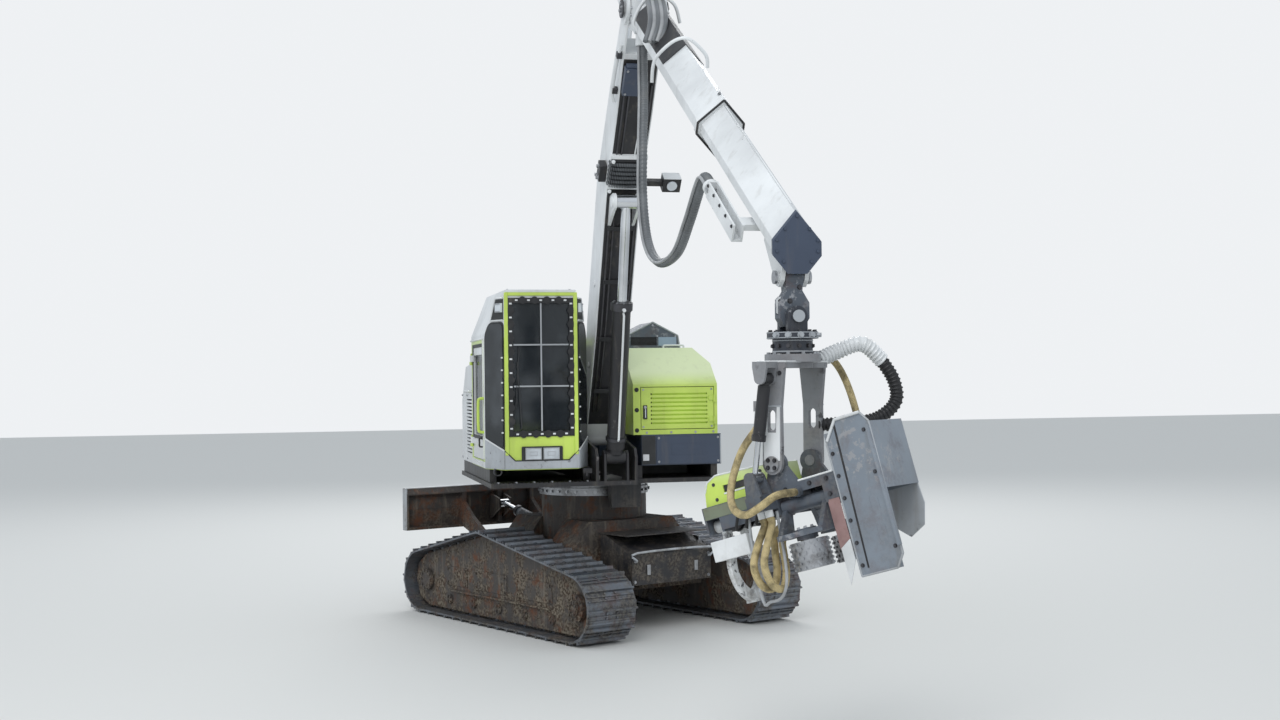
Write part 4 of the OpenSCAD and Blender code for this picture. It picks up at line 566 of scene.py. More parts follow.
def rib_tree(finish):
    """Ribs of a corrugated wrap, set at a pitch along a path."""
    tree, inp, out = new_group("Ribs " + finish.name,
                               [("Radius", "NodeSocketFloat", 0.045), ("Rib", "NodeSocketFloat", 0.006),
                                                       ("Pitch", "NodeSocketFloat", 0.026)])
    curve = tree.nodes.new("GeometryNodeMeshToCurve")
    tree.links.new(inp.outputs["Geometry"], curve.inputs[0])
    even = add(tree, "GeometryNodeCurveToPoints", mode="LENGTH")
    tree.links.new(curve.outputs[0], even.inputs[0])
    tree.links.new(inp.outputs["Pitch"], even.inputs["Length"])
    ring = add(tree, "GeometryNodeCurvePrimitiveCircle", i_Resolution=20)
    tree.links.new(inp.outputs["Radius"], ring.inputs["Radius"])
    wire = add(tree, "GeometryNodeCurvePrimitiveCircle", i_Resolution=6)
    tree.links.new(inp.outputs["Rib"], wire.inputs["Radius"])
    hoop = tree.nodes.new("GeometryNodeCurveToMesh")
    tree.links.new(ring.outputs[0], hoop.inputs["Curve"])
    tree.links.new(wire.outputs[0], hoop.inputs["Profile Curve"])
    copies = tree.nodes.new("GeometryNodeInstanceOnPoints")
    tree.links.new(even.outputs["Points"], copies.inputs["Points"])
    tree.links.new(even.outputs["Rotation"], copies.inputs["Rotation"])
    tree.links.new(hoop.outputs[0], copies.inputs["Instance"])
    end_group(tree, copies.outputs[0], finish, out)
    return tree


def block_tree(finish):
    """Blocks of one size at points that carry an axis attribute, such as slats, lugs and grousers."""
    tree, inp, out = new_group("Blocks " + finish.name, [("Size", "NodeSocketVector", (0.1, 0.1, 0.1))])
    axis = add(tree, "GeometryNodeInputNamedAttribute", data_type="FLOAT_VECTOR", i_Name="axis")
    way = add(tree, "GeometryNodeInputNamedAttribute", data_type="FLOAT_VECTOR", i_Name="way")
    turn = add(tree, "FunctionNodeAxesToRotation", primary_axis="Z", secondary_axis="X")
    tree.links.new(axis.outputs["Attribute"], turn.inputs[0])
    tree.links.new(way.outputs["Attribute"], turn.inputs[1])
    block = tree.nodes.new("GeometryNodeMeshCube")
    tree.links.new(inp.outputs["Size"], block.inputs["Size"])
    copies = tree.nodes.new("GeometryNodeInstanceOnPoints")
    tree.links.new(inp.outputs["Geometry"], copies.inputs["Points"])
    tree.links.new(block.outputs["Mesh"], copies.inputs["Instance"])
    tree.links.new(turn.outputs[0], copies.inputs["Rotation"])
    end_group(tree, copies.outputs[0], finish, out)
    return tree


TREES = {}


def grown(name, verts, edges, attributes, make_tree, finish, values, body, bevel=0.0):
    """Runs a Geometry Nodes tree over bare points and keeps the plain mesh that comes out."""
    key = (make_tree.__name__, finish)
    if key not in TREES:
        TREES[key] = make_tree(MAT[finish])
    tree = TREES[key]
    mesh = bpy.data.meshes.new(name + "_points")
    mesh.from_pydata([tuple(v) for v in verts], edges, [])
    for label, vectors in attributes.items():
        layer = mesh.attributes.new(label, "FLOAT_VECTOR", "POINT")
        layer.data.foreach_set("vector", [c for v in vectors for c in v])
    carrier = bpy.data.objects.new(name + "_points", mesh)
    bpy.context.scene.collection.objects.link(carrier)
    modifier = carrier.modifiers.new("Grow", "NODES")
    modifier.node_group = tree
    for item in tree.interface.items_tree:
        if item.item_type == "SOCKET" and item.in_out == "INPUT" and item.name in values:
            modifier[item.identifier] = values[item.name]
    depsgraph = bpy.context.evaluated_depsgraph_get()
    result = bpy.data.meshes.new_from_object(carrier.evaluated_get(depsgraph))
    bpy.data.objects.remove(carrier)
    result.name = name
    return place_piece(name, result, finish, body, bevel)


def bolts(name, spots, width, height, finish, body):
    """spots are (place, axis) pairs."""
    return grown(name, [p for p, a in spots], [], {"axis": [tuple(a) for p, a in spots]}, bolt_tree, finish,
                 {"Width": width, "Height": height}, body)


def blocks(name, spots, size, finish, body, bevel=0.0):
    """spots are (place, axis, way) triples; size is along way, across it, and along axis."""
    return grown(name, [s[0] for s in spots], [], {"axis": [tuple(s[1]) for s in spots],
                                                   "way": [tuple(s[2]) for s in spots]},
                 block_tree, finish, {"Size": size}, body, bevel)


# Places on the machine


def wall(x, y, turn=0.0):
    """A wall's frame: X to the right, Y up, Z out of the wall; no turn faces the machine's front."""
    upright = Matrix(((1, 0, 0, 0), (0, 0, -1, 0), (0, 1, 0, 0), (0, 0, 0, 1)))
    return Matrix.Translation((x, y, 0)) @ Matrix.Rotation(math.radians(turn), 4, "Z") @ upright


def member(foot, end):
    """A crane section's frame: X along it, Y across to the engine side, Z to its upper or back face."""
    rise = math.atan2(end[1] - foot[1], end[0] - foot[0])
    return (Matrix.Translation((0, -foot[0], foot[1])) @ Matrix.Rotation(math.radians(-90), 4, "Z")
            @ Matrix.Rotation(-rise, 4, "Y"))


LOW = member((0.300, 1.750), (1.260, 3.950))
HIGH = member((1.260, 3.950), (2.330, 5.280))
ON_STICK = member((2.330, 5.280), (2.330 + math.cos(FALL), 5.280 - math.sin(FALL)))
ELBOW_PLACE = HIGH @ Matrix.Translation((1.707, 0, 0))
TIP_PLACE = Matrix.Translation((0, -TIP_REACH, 2.8407))
LIFT_RAM = member((1.000, 1.560), (1.575, 3.790))
STICK_RAM = member((0.800, 3.860), (1.9451, 5.5112))
FRONT = wall(-0.680, -1.100)
LEFT = wall(-1.138, 0, -90)
HOOD = wall(0, -0.850)
CORNERS = [(-1, wall(-1.073, -0.950, -66.6)), (1, wall(-0.287, -0.950, 66.6))]


def boxes(name, finish, body, items, bevel=0.0):
    """items are (place, low, high) triples."""
    bm = bmesh.new()
    for place, low, high in items:
        add_box(bm, place, low, high)
    return mesh_piece(name, bm, finish, body, bevel)


def plates(name, finish, body, items, bevel=0.0):
    """items are (place, outline, start, thickness); the outline lies in the place's XY plane."""
    bm = bmesh.new()
    for place, outline, start, thick in items:
        add_prism(bm, place @ Matrix.Translation((0, 0, start)), outline, thick)
    return mesh_piece(name, bm, finish, body, bevel)


def bars(name, finish, body, items, sides=16):
    """items are (place, one end, other end, radius)."""
    bm = bmesh.new()
    for place, a, b, radius in items:
        add_bar(bm, place @ Vector(a), place @ Vector(b), radius, sides)
    return mesh_piece(name, bm, finish, body)


def bent(name, finish, body, routes, radius, steps=6, sides=10):
    """Bent rods and pipes; routes are lists of points in metres."""
    bm = bmesh.new()
    for route in routes:
        part = tube_mesh(name, smooth_path(route, steps), radius, sides)
        bm.from_mesh(part)
        bpy.data.meshes.remove(part)
    return mesh_piece(name, bm, finish, body)


def ribbed(name, finish, body, route, radius, rib, pitch):
    path = smooth_path(route, 10)
    edges = [(k, k + 1) for k in range(len(path) - 1)]
    return grown(name, path, edges, {}, rib_tree, finish, {"Radius": radius, "Rib": rib, "Pitch": pitch},
                 body)


def rounded(points, radius, steps=4):
    """An outline with its corners rounded off."""
    out = []
    n = len(points)
    for k in range(n):
        p = Vector(points[k])
        a = Vector(points[k - 1]) - p
        b = Vector(points[(k + 1) % n]) - p
        r = min(radius, a.length / 2, b.length / 2)
        start, end = p + a.normalized() * r, p + b.normalized() * r
        for j in range(steps + 1):
            t = j / steps
            out.append((1 - t) ** 2 * start + 2 * t * (1 - t) * p + t ** 2 * end)
    return out


def box_outline(x0, y0, x1, y1):
    return [(x0, y0), (x1, y0), (x1, y1), (x0, y1)]


def spread(start, end, count):
    return [start + (end - start) * k / (count - 1) for k in range(count)]


def on_wall(place, spots):
    """Bolt or block spots on a wall, from (x, y) or (x, y, out)."""
    out = place.to_3x3() @ Vector((0, 0, 1))
    return [(place @ Vector((s[0], s[1], s[2] if len(s) > 2 else 0.0)), out) for s in spots]


def in_frame(place, spots, axis):
    way = place.to_3x3() @ Vector(axis)
    return [(place @ Vector(s), way) for s in spots]


def facing(place, spots, axis=(0, 0, 1), along=(1, 0, 0)):
    """Block spots with the place's own directions."""
    turn = place.to_3x3()
    return [(place @ Vector(s), turn @ Vector(axis), turn @ Vector(along)) for s in spots]


# Cords


def metres(place, route):
    return [place @ (Vector(p) / 1000) for p in route]


BUNDLE_ROUTE = [(-80, -2600, 4920), (-80, -2600, 4700), (-80, -2600, 4480), (-100, -2640, 4150),
                (-120, -2700, 3700),
                (-130, -2900, 3320), (-150, -3350, 3130), (-180, -4000, 3150), (-205, -4450, 3330),
                (-213, -4770, 3530), (-215, -4900, 3568), (-215, -5033, 3498)]
FAR_ROUTE = [(0, 263, 617), (0, 300, 617), (0, 345, 620), (40, 425, 600), (90, 475, 500), (150, 490, 330),
             (205, 470, 120), (202, 425, -70), (196.6, 360, -141.3), (196.6, 315, -141.3),
             (196.6, 271, -141.3)]
NEAR_ROUTE = [(-92, -247, 300), (-92, -247, 262), (-92, -247, 224), (-165, -315, 80), (-205, -360, -80),
              (-190, -410, -200), (-130, -450, -265), (-50, -470, -275), (40, -470, -225),
              (110, -450, -172), (146, -405, -155), (148.5, -355, -155.1), (148.5, -312, -155.1),
              (148.5, -271, -155.1)]
UPPER_ROUTE = [(-130, -300, -251), (-130, -300, -290), (-130, -300, -330), (-168, -365, -430),
               (-195, -420, -540), (-192, -390, -650), (-178, -300, -680), (-168, -228, -600),
               (-160, -203, -480), (-140, -200, -395), (-96, -200, -358), (-74, -200, -355),
               (-61, -200, -355), (-48.3, -200, -355)]
LOWER_ROUTE = [(-80, -300, -251), (-80, -300, -290), (-80, -300, -330), (-102, -365, -430),
               (-122, -425, -540), (-124, -400, -655), (-116, -305, -695), (-112, -228, -620),
               (-110, -203, -520), (-102, -200, -445), (-80, -200, -410), (-68, -200, -405),
               (-58, -200, -405), (-48.3, -200, -405)]


def hose(name, route, diameter, finish, body, replaced, bend_to=None, lay="hanging", rib=0.0):
    """A hose along listed points; rib is the pitch of its corrugation, or 0."""
    path = smooth_path(route, 10)
    radius = diameter / 2
    if rib:
        waves = path_length(path) / rib
        fine = smooth_path(route, 60)
        mesh = tube_mesh(name, fine, lambda t: radius * (0.94 + 0.06 * math.sin(2 * math.pi * waves * t)))
    else:
        mesh = tube_mesh(name, path, radius)
    if bend_to:
        piece = bpy.data.objects.new(name, mesh)
        bpy.context.scene.collection.objects.link(piece)
        mesh.materials.append(MAT[finish])
        mesh.shade_smooth()
        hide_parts(replaced)
        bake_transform(piece)
    else:
        piece = place_piece(name, mesh, finish, body)
        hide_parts(replaced)
    return piece


class HARVESTER_OT_hoses(bpy.types.Operator):
    """Lays the wrapped bundle on the stick and the sleeved hoses on the head"""

    bl_idname = "harvester.hoses"
    bl_label = "Hoses"

    def execute(self, context):
        s = context.scene.harvester_hoses
        core = [p + Vector((0.008, 0, 0)) for p in metres(Matrix.Identity(4), BUNDLE_ROUTE)]
        outer = [p + Vector((-0.034, -0.010, 0)) for p in metres(Matrix.Identity(4), BUNDLE_ROUTE)]
        hose("bundle_wrap", core, s.bundle * 0.80, "wrap", "stick", "hose_bundle", "inner", rib=s.rib)
        hose("bundle_hose", outer, s.bundle * 0.24, "bright hose", "stick", "hose_bundle", "inner")
        hose("far_head_hose", metres(YOKE, FAR_ROUTE), s.hose, "sleeve", "yoke", "head_hoses", "head")
        hose("near_head_hose", metres(YOKE, NEAR_ROUTE), s.hose, "sleeve", "yoke", "head_hoses", "head")
        hose("upper_arm_hose", metres(HEAD, UPPER_ROUTE), s.hose, "sleeve", "head", "arm_hoses",
             "feed_arm_left")
        hose("lower_arm_hose", metres(HEAD, LOWER_ROUTE), s.hose, "sleeve", "head", "arm_hoses",
             "feed_arm_left")
        return {"FINISHED"}


class HARVESTER_OT_finishes(bpy.types.Operator):
    """Builds every finish and puts it on the machine's solids"""

    bl_idname = "harvester.finishes"
    bl_label = "Finishes"

    def execute(self, context):
        build_finishes(context.scene.harvester_finish)
        finish_nodes()
        return {"FINISHED"}


class HARVESTER_OT_cab(bpy.types.Operator):
    """Adds the cab's window seals and clips, trim, skirt, lamps, guard bars, handle and seat controls"""

    bl_idname = "harvester.cab"
    bl_label = "Cab"

    def execute(self, context):
        self.front()
        self.corners()
        self.left_side()
        self.roof()
        self.inside()
        return {"FINISHED"}

    def front(self):
        low, high, half = 1.785, 2.965, 0.271
        seal = []
        for x0, y0, x1, y1 in ((-0.292, low - 0.022, -0.252, high + 0.022),
                               (0.252, low - 0.022, 0.292, high + 0.022),
                               (-0.252, low - 0.022, 0.252, low + 0.024),
                               (-0.252, high - 0.026, 0.252, high + 0.022)):
            seal.append((FRONT, (x0, y0, 0.0), (x1, y1, 0.010)))
        boxes("front_window_seal", "rubber", "deck", seal, 0.003)
        upright = spread(1.835, 2.935, 10)
        level = [-0.218, -0.109, 0.0, 0.109, 0.218]
        clips = [(side * half, z, 0.014) for side in (-1, 1) for z in upright]
        clips += [(x, z, 0.014) for x in level for z in (low, high)]
        blocks("front_window_clips", facing(FRONT, clips), (0.024, 0.015, 0.010), "white", "deck", 0.002)
        lumps = [(side * half, z + 0.061, 0.011) for side in (-1, 1) for z in upright[:-1]]
        lumps += [(x + 0.054, z, 0.011) for x in level[:-1] for z in (low, high)]
        bolts("front_window_seal_studs", on_wall(FRONT, lumps), 0.050, 0.005, "rubber", "deck")
        boxes("front_trim", "lime", "deck", [
            (FRONT, (side * 0.310 - 0.017, 1.600, 0.0),
             (side * 0.310 + 0.017, 3.035, 0.014)) for side in (-1, 1)
        ] + [(FRONT, (-0.293, 3.005, 0.0), (0.293, 3.035, 0.012))], 0.004)
        guard = boxes("front_guard", "guard", "deck", [
            (FRONT, (-0.007, 1.812, 0.004), (0.007, 2.938, 0.015)),
            (FRONT, (-0.246, 2.565, 0.002), (0.246, 2.579, 0.013)),
            (FRONT, (-0.246, 2.199, 0.002), (0.246, 2.213, 0.013)),
        ], 0.002)
        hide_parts("front_grid")
        plates("front_skirt", "pale", "deck", [
            (FRONT, [(-0.330, 1.476), (0.330, 1.476), (0.330, 1.640), (0.240, 1.552), (-0.240, 1.552),
                     (-0.330, 1.640)], 0.0, 0.010)], 0.003)
        frame_edges = [((-0.330, 1.640), (-0.240, 1.552)), ((-0.240, 1.552), (0.240, 1.552)),
                       ((0.240, 1.552), (0.330, 1.640))]
        bars("front_skirt_seam", "rubber", "deck",
             [(FRONT, (*a, 0.010), (*b, 0.010), 0.005) for a, b in frame_edges], 8)
        plates("lamp_surround", "plastic", "deck", [
            (FRONT, rounded(box_outline(-0.183, 1.548, 0.183, 1.676), 0.012), 0.0, 0.016)], 0.003)
        rims = []
        for x in (-0.080, 0.080):
            rims += [(FRONT, (x - 0.072, 1.560, 0.016), (x + 0.072, 1.566, 0.026)),
                     (FRONT, (x - 0.072, 1.658, 0.016), (x + 0.072, 1.664, 0.026)),
                     (FRONT, (x - 0.072, 1.566, 0.016), (x - 0.066, 1.658, 0.026)),
                     (FRONT, (x + 0.066, 1.566, 0.016), (x + 0.072, 1.658, 0.026)),
                     (FRONT, (x - 0.034, 1.594, 0.020), (x + 0.034, 1.598, 0.0232)),
                     (FRONT, (x - 0.034, 1.626, 0.020), (x + 0.034, 1.630, 0.0232)),
                     (FRONT, (x - 0.034, 1.594, 0.020), (x - 0.030, 1.630, 0.0232)),
                     (FRONT, (x + 0.030, 1.594, 0.020), (x + 0.034, 1.630, 0.0232))]
        boxes("lamp_rims", "zinc", "deck", rims)
        bars("wiper", "plastic", "deck", [
            (FRONT, (-0.180, 1.830, 0.010), (-0.215, 2.420, 0.012), 0.006),
            (FRONT, (-0.232, 2.020, 0.013), (-0.198, 2.560, 0.013), 0.004)], 8)

    def corners(self):
        panes, seals, skirts, lips, clips, rims, darks, lamps = [], [], [], [], [], [], [], []
        for side, place in CORNERS:
            s = -side
            glass_edge = [(s * 0.150, 1.655), (s * 0.150, 2.762), (-s * 0.075, 2.762), (-s * 0.148, 2.660),
                          (-s * 0.148, 1.745)]
            seal_edge = [(s * 0.162, 1.628), (s * 0.162, 2.776), (-s * 0.083, 2.776), (-s * 0.162, 2.672),
                         (-s * 0.162, 1.712)]
            panes.append((place, rounded(glass_edge, 0.05), 0.006, 0.006))
            seals.append((place, rounded(seal_edge, 0.05), 0.0, 0.008))
            skirt = [(s * 0.163, 1.476), (s * 0.163, 1.636), (-s * 0.163, 1.735), (-s * 0.163, 1.476)]
            skirts.append((place, skirt, 0.0, 0.012))
            lips.append((place, (s * 0.163, 1.642, 0.009), (-s * 0.163, 1.741, 0.009), 0.008))
            clips += facing(place, [(s * 0.150, z, 0.016) for z in spread(1.80, 2.46, 7)])
            rims += [(place, (s * 0.155, 2.790, 0.006), (-s * 0.060, 2.790, 0.006), 0.008),
                     (place, (-s * 0.060, 2.790, 0.006), (s * 0.030, 2.985, 0.006), 0.008),
                     (place, (s * 0.030, 2.985, 0.006), (s * 0.155, 2.985, 0.006), 0.008)]
            darks.append((place, [(s * 0.155, 2.792), (-s * 0.056, 2.792), (s * 0.032, 2.982),
                                  (s * 0.155, 2.982)],
                          0.0, 0.006))
            lamps.append((place, (s * 0.105 - 0.040, 2.862, 0.030), (s * 0.105 + 0.040, 2.870, 0.036)))
            lamps.append((place, (s * 0.105 - 0.040, 2.930, 0.030), (s * 0.105 + 0.040, 2.938, 0.036)))
        plates("corner_window_seals", "rubber", "deck", seals)
        plates("corner_windows", "glass", "deck", panes)
        plates("corner_skirts", "pale", "deck", skirts, 0.003)
        bars("corner_skirt_lips", "white", "deck", lips, 8)
        blocks("corner_window_clips", clips, (0.022, 0.014, 0.010), "white", "deck", 0.002)
        bars("roof_corner_frames", "white", "deck", rims, 8)
        plates("roof_corner_recesses", "plastic", "deck", darks)
        boxes("roof_lamp_rims", "zinc", "deck", lamps)

    def left_side(self):
        plates("side_skirt", "white", "deck", [
            (LEFT, [(-0.205, 1.476), (0.798, 1.476), (0.798, 1.530), (-0.205, 1.530)], 0.0, 0.008)], 0.003)
        ring = []
        for x0, y0, x1, y1 in ((-0.100, 1.725, -0.068, 2.600), (0.606, 1.725, 0.638, 2.600),
                               (-0.068, 1.725, 0.606, 1.757), (-0.068, 2.568, 0.606, 2.600)):
            ring.append((LEFT, (x0 + 0.05, y0, 0.0), (x1 - 0.03, y1, 0.006)))
        boxes("door_window_seal", "rubber", "cab_door", ring, 0.002)
        bent("door_handle", "plastic", "cab_door", [
            [LEFT @ Vector(p) for p in ((0.585, 1.660, 0.0), (0.585, 1.665, 0.030), (0.585, 1.700, 0.032),
                                        (0.585, 1.735, 0.030), (0.585, 1.740, 0.0))]], 0.008)
        bent("grab_handle", "lime", "deck", [
            [LEFT @ Vector(p) for p in ((0.745, 1.800, 0.0), (0.745, 1.802, 0.045), (0.745, 1.840, 0.060),
                                        (0.745, 2.060, 0.060), (0.745, 2.098, 0.045), (0.745, 2.100, 0.0))]],
                                        0.013)
        bars("side_trim", "white", "deck", [
            (LEFT, (0.690, 1.560, 0.004), (0.690, 2.630, 0.004), 0.010),
            (LEFT, (0.795, 1.560, 0.004), (0.795, 2.650, 0.004), 0.010),
            (LEFT, (-0.200, 2.640, 0.004), (0.795, 2.640, 0.004), 0.010)], 8)
        step = [(LEFT, (0.10 + 0.14 * k, 1.486, 0.008), (0.12 + 0.14 * k, 1.520, 0.014)) for k in range(4)]
        boxes("side_skirt_ribs", "white", "deck", step)
        bent("lifting_eye", "dark steel", "deck", [
            [Vector((-1.055 + 0.034 * math.cos(t), -0.960, 1.452 + 0.034 * math.sin(t)))
             for t in (math.pi * k / 8 for k in range(17))]], 0.008, 2, 8)
        boxes("cab_foot_bracket", "dark", "deck", [
            (Matrix.Identity(4), (-0.310, -1.090, 1.425), (-0.230, -1.020, 1.470)),
            (Matrix.Identity(4), (-0.290, -1.100, 1.400), (-0.270, -1.060, 1.440))], 0.003)

    def roof(self):
        top = Matrix.Identity(4)
        hatch = [(-0.900, -0.700), (-0.460, -0.700), (-0.460, -0.260), (-0.900, -0.260)]
        plates("roof_hatch", "white", "deck", [(top, rounded(hatch, 0.04), 3.060, 0.018)], 0.006)
        plates("roof_rain_strip", "white", "deck", [
            (FRONT, [(-0.312, 3.035), (0.312, 3.035), (0.318, 3.058), (-0.318, 3.058)], 0.0, 0.010)], 0.003)
        spots = [Vector((x, y, 3.062)) for x in (-0.960, -0.400) for y in spread(-1.000, 0.120, 6)]
        bolts("roof_bolts", [(p, (0, 0, 1)) for p in spots], 0.018, 0.008, "zinc", "deck")

    def inside(self):
        sticks = []
        for side in (-1, 1):
            x = -0.680 + side * 0.260
            sticks.append([Vector((x, -0.240, 2.070)), Vector((x, -0.250, 2.130)),
                           Vector((x, -0.262, 2.190))])
        bent("control_levers", "plastic", "deck", sticks, 0.016)
        boxes("seat_belt_and_headrest", "cloth", "deck", [
            (Matrix.Translation((-0.680, 0, 0)), (-0.130, 0.050, 2.480), (0.130, 0.150, 2.590))], 0.02)


class HARVESTER_OT_engine_house(bpy.types.Operator):
    """Adds the engine house's latch, louvre backing, trims, plates and rail"""

    bl_idname = "harvester.engine_house"
    bl_label = "Engine house"

    def execute(self, context):
        boxes("louvre_backing", "plastic", "hood_door",
              [(HOOD, (0.350, 1.830, -0.030), (0.920, 2.150, -0.026))])
        slats = [(0.642, 1.853 + 0.038 * k, -0.014) for k in range(8)]
        blocks("louvre_slats", facing(HOOD, slats, (0, -0.5, 0.86)), (0.520, 0.022, 0.003), "lime",
               "hood_door")
        boxes("latch_recess", "plastic", "hood_door",
              [(HOOD, (0.296, 1.892, 0.002), (0.334, 2.018, 0.0125))], 0.002)
        bars("latch", "chrome", "hood_door", [
            (HOOD, (0.315, 1.905, 0.018), (0.315, 1.985, 0.018), 0.006)], 8)
        bolts("latch_lock", on_wall(HOOD, [(0.315, 2.000, 0.012)]), 0.020, 0.010, "zinc", "hood_door")
        bolts("hood_studs", on_wall(HOOD, [(0.238, z) for z in (1.790, 1.975, 2.160)]), 0.030, 0.012,
              "rubber", "deck")
        bolts("hood_bolts", on_wall(HOOD, [(x, 1.768) for x in (0.330, 0.560, 0.790, 0.960)]), 0.016, 0.006,
              "zinc", "deck")
        bolts("door_screws", on_wall(HOOD, [(x, z) for x in (0.300, 0.945) for z in (1.820, 2.160)]), 0.014,
              0.005,
              "zinc", "hood_door")
        boxes("side_box_plates", "slate", "deck", [
            (HOOD, (0.420, 1.478, 0.0), (1.020, 1.738, 0.008)),
            (HOOD, (0.560, 1.560, 0.008), (0.860, 1.660, 0.010))], 0.002)
        boxes("side_box_recess", "plastic", "deck", [(HOOD, (0.284, 1.478, 0.0), (0.410, 1.738, 0.003))])
        boxes("side_box_edge", "pale", "deck", [(HOOD, (1.018, 1.474, 0.002), (1.030, 1.742, 0.010))], 0.002)
        boxes("reflector", "reflector", "deck", [(HOOD, (0.290, 1.512, 0.003), (0.348, 1.570, 0.009))], 0.002)
        bolts("side_box_bolts", on_wall(HOOD, [(x, z, 0.008) for x in (0.440, 1.000) for z in (1.500,
            1.716)]), 0.016, 0.007,
              "zinc", "deck")
        self.air_box()
        bent("hood_rail", "white", "deck", [
            [Vector((x, -0.300 + 0.12, z)) for x, z in ((0.660, 2.552), (0.662, 2.575), (0.690, 2.580),
                                                        (0.830, 2.580), (0.858, 2.575), (0.860, 2.552))]],
                                                        0.009)
        self.vents()
        return {"FINISHED"}

    def air_box(self):
        face = wall(0, 0.0)
        ridge = [(0.340, 2.560), (0.360, 2.690), (0.600, 2.810), (0.850, 2.680), (0.870, 2.560)]
        items = [(face, (*a, 0.002), (*b, 0.002), 0.007) for a, b in zip(ridge, ridge[1:])]
        bars("air_box_edges", "pale", "deck", items, 8)
        boxes("air_box_grille", "plastic", "deck", [(face, (0.382, 2.587, -0.026), (0.638, 2.663, -0.022))])
        boxes("air_box_slats", "dark steel", "deck",
              [(face, (0.384, 2.594 + 0.012 * k, -0.022),
                (0.636, 2.598 + 0.012 * k, -0.006)) for k in range(6)])
        boxes("air_box_panel", "pale blue", "deck", [(face, (0.655, 2.580, 0.0), (0.835, 2.664, 0.005))],
              0.002)
        bolts("air_box_bolts", on_wall(face, [(0.372, 2.675), (0.645, 2.675), (0.828, 2.672),
                                              (0.600, 2.780)]),
              0.014, 0.005, "zinc", "deck")

    def vents(self):
        outer = wall(1.000, 0, 90)
        spots = [(x, 2.120 - 0.045 * k, 0.002) for x in (0.150, 0.650) for k in range(6)]
        blocks("side_vents", facing(outer, spots), (0.360, 0.018, 0.008), "plastic", "deck", 0.002)
        boxes("side_doors", "lime", "deck", [
            (outer, (-0.090, 1.790, 0.0), (0.390, 2.330, 0.005)),
            (outer, (0.410, 1.790, 0.0), (0.890, 2.330, 0.005))], 0.002)
        back = wall(0.600, 1.150, 180)
        spots = [(0.0, 1.900 + 0.050 * k, 0.003) for k in range(10)]
        blocks("rear_vents", facing(back, spots), (0.560, 0.022, 0.010), "plastic", "deck", 0.002)


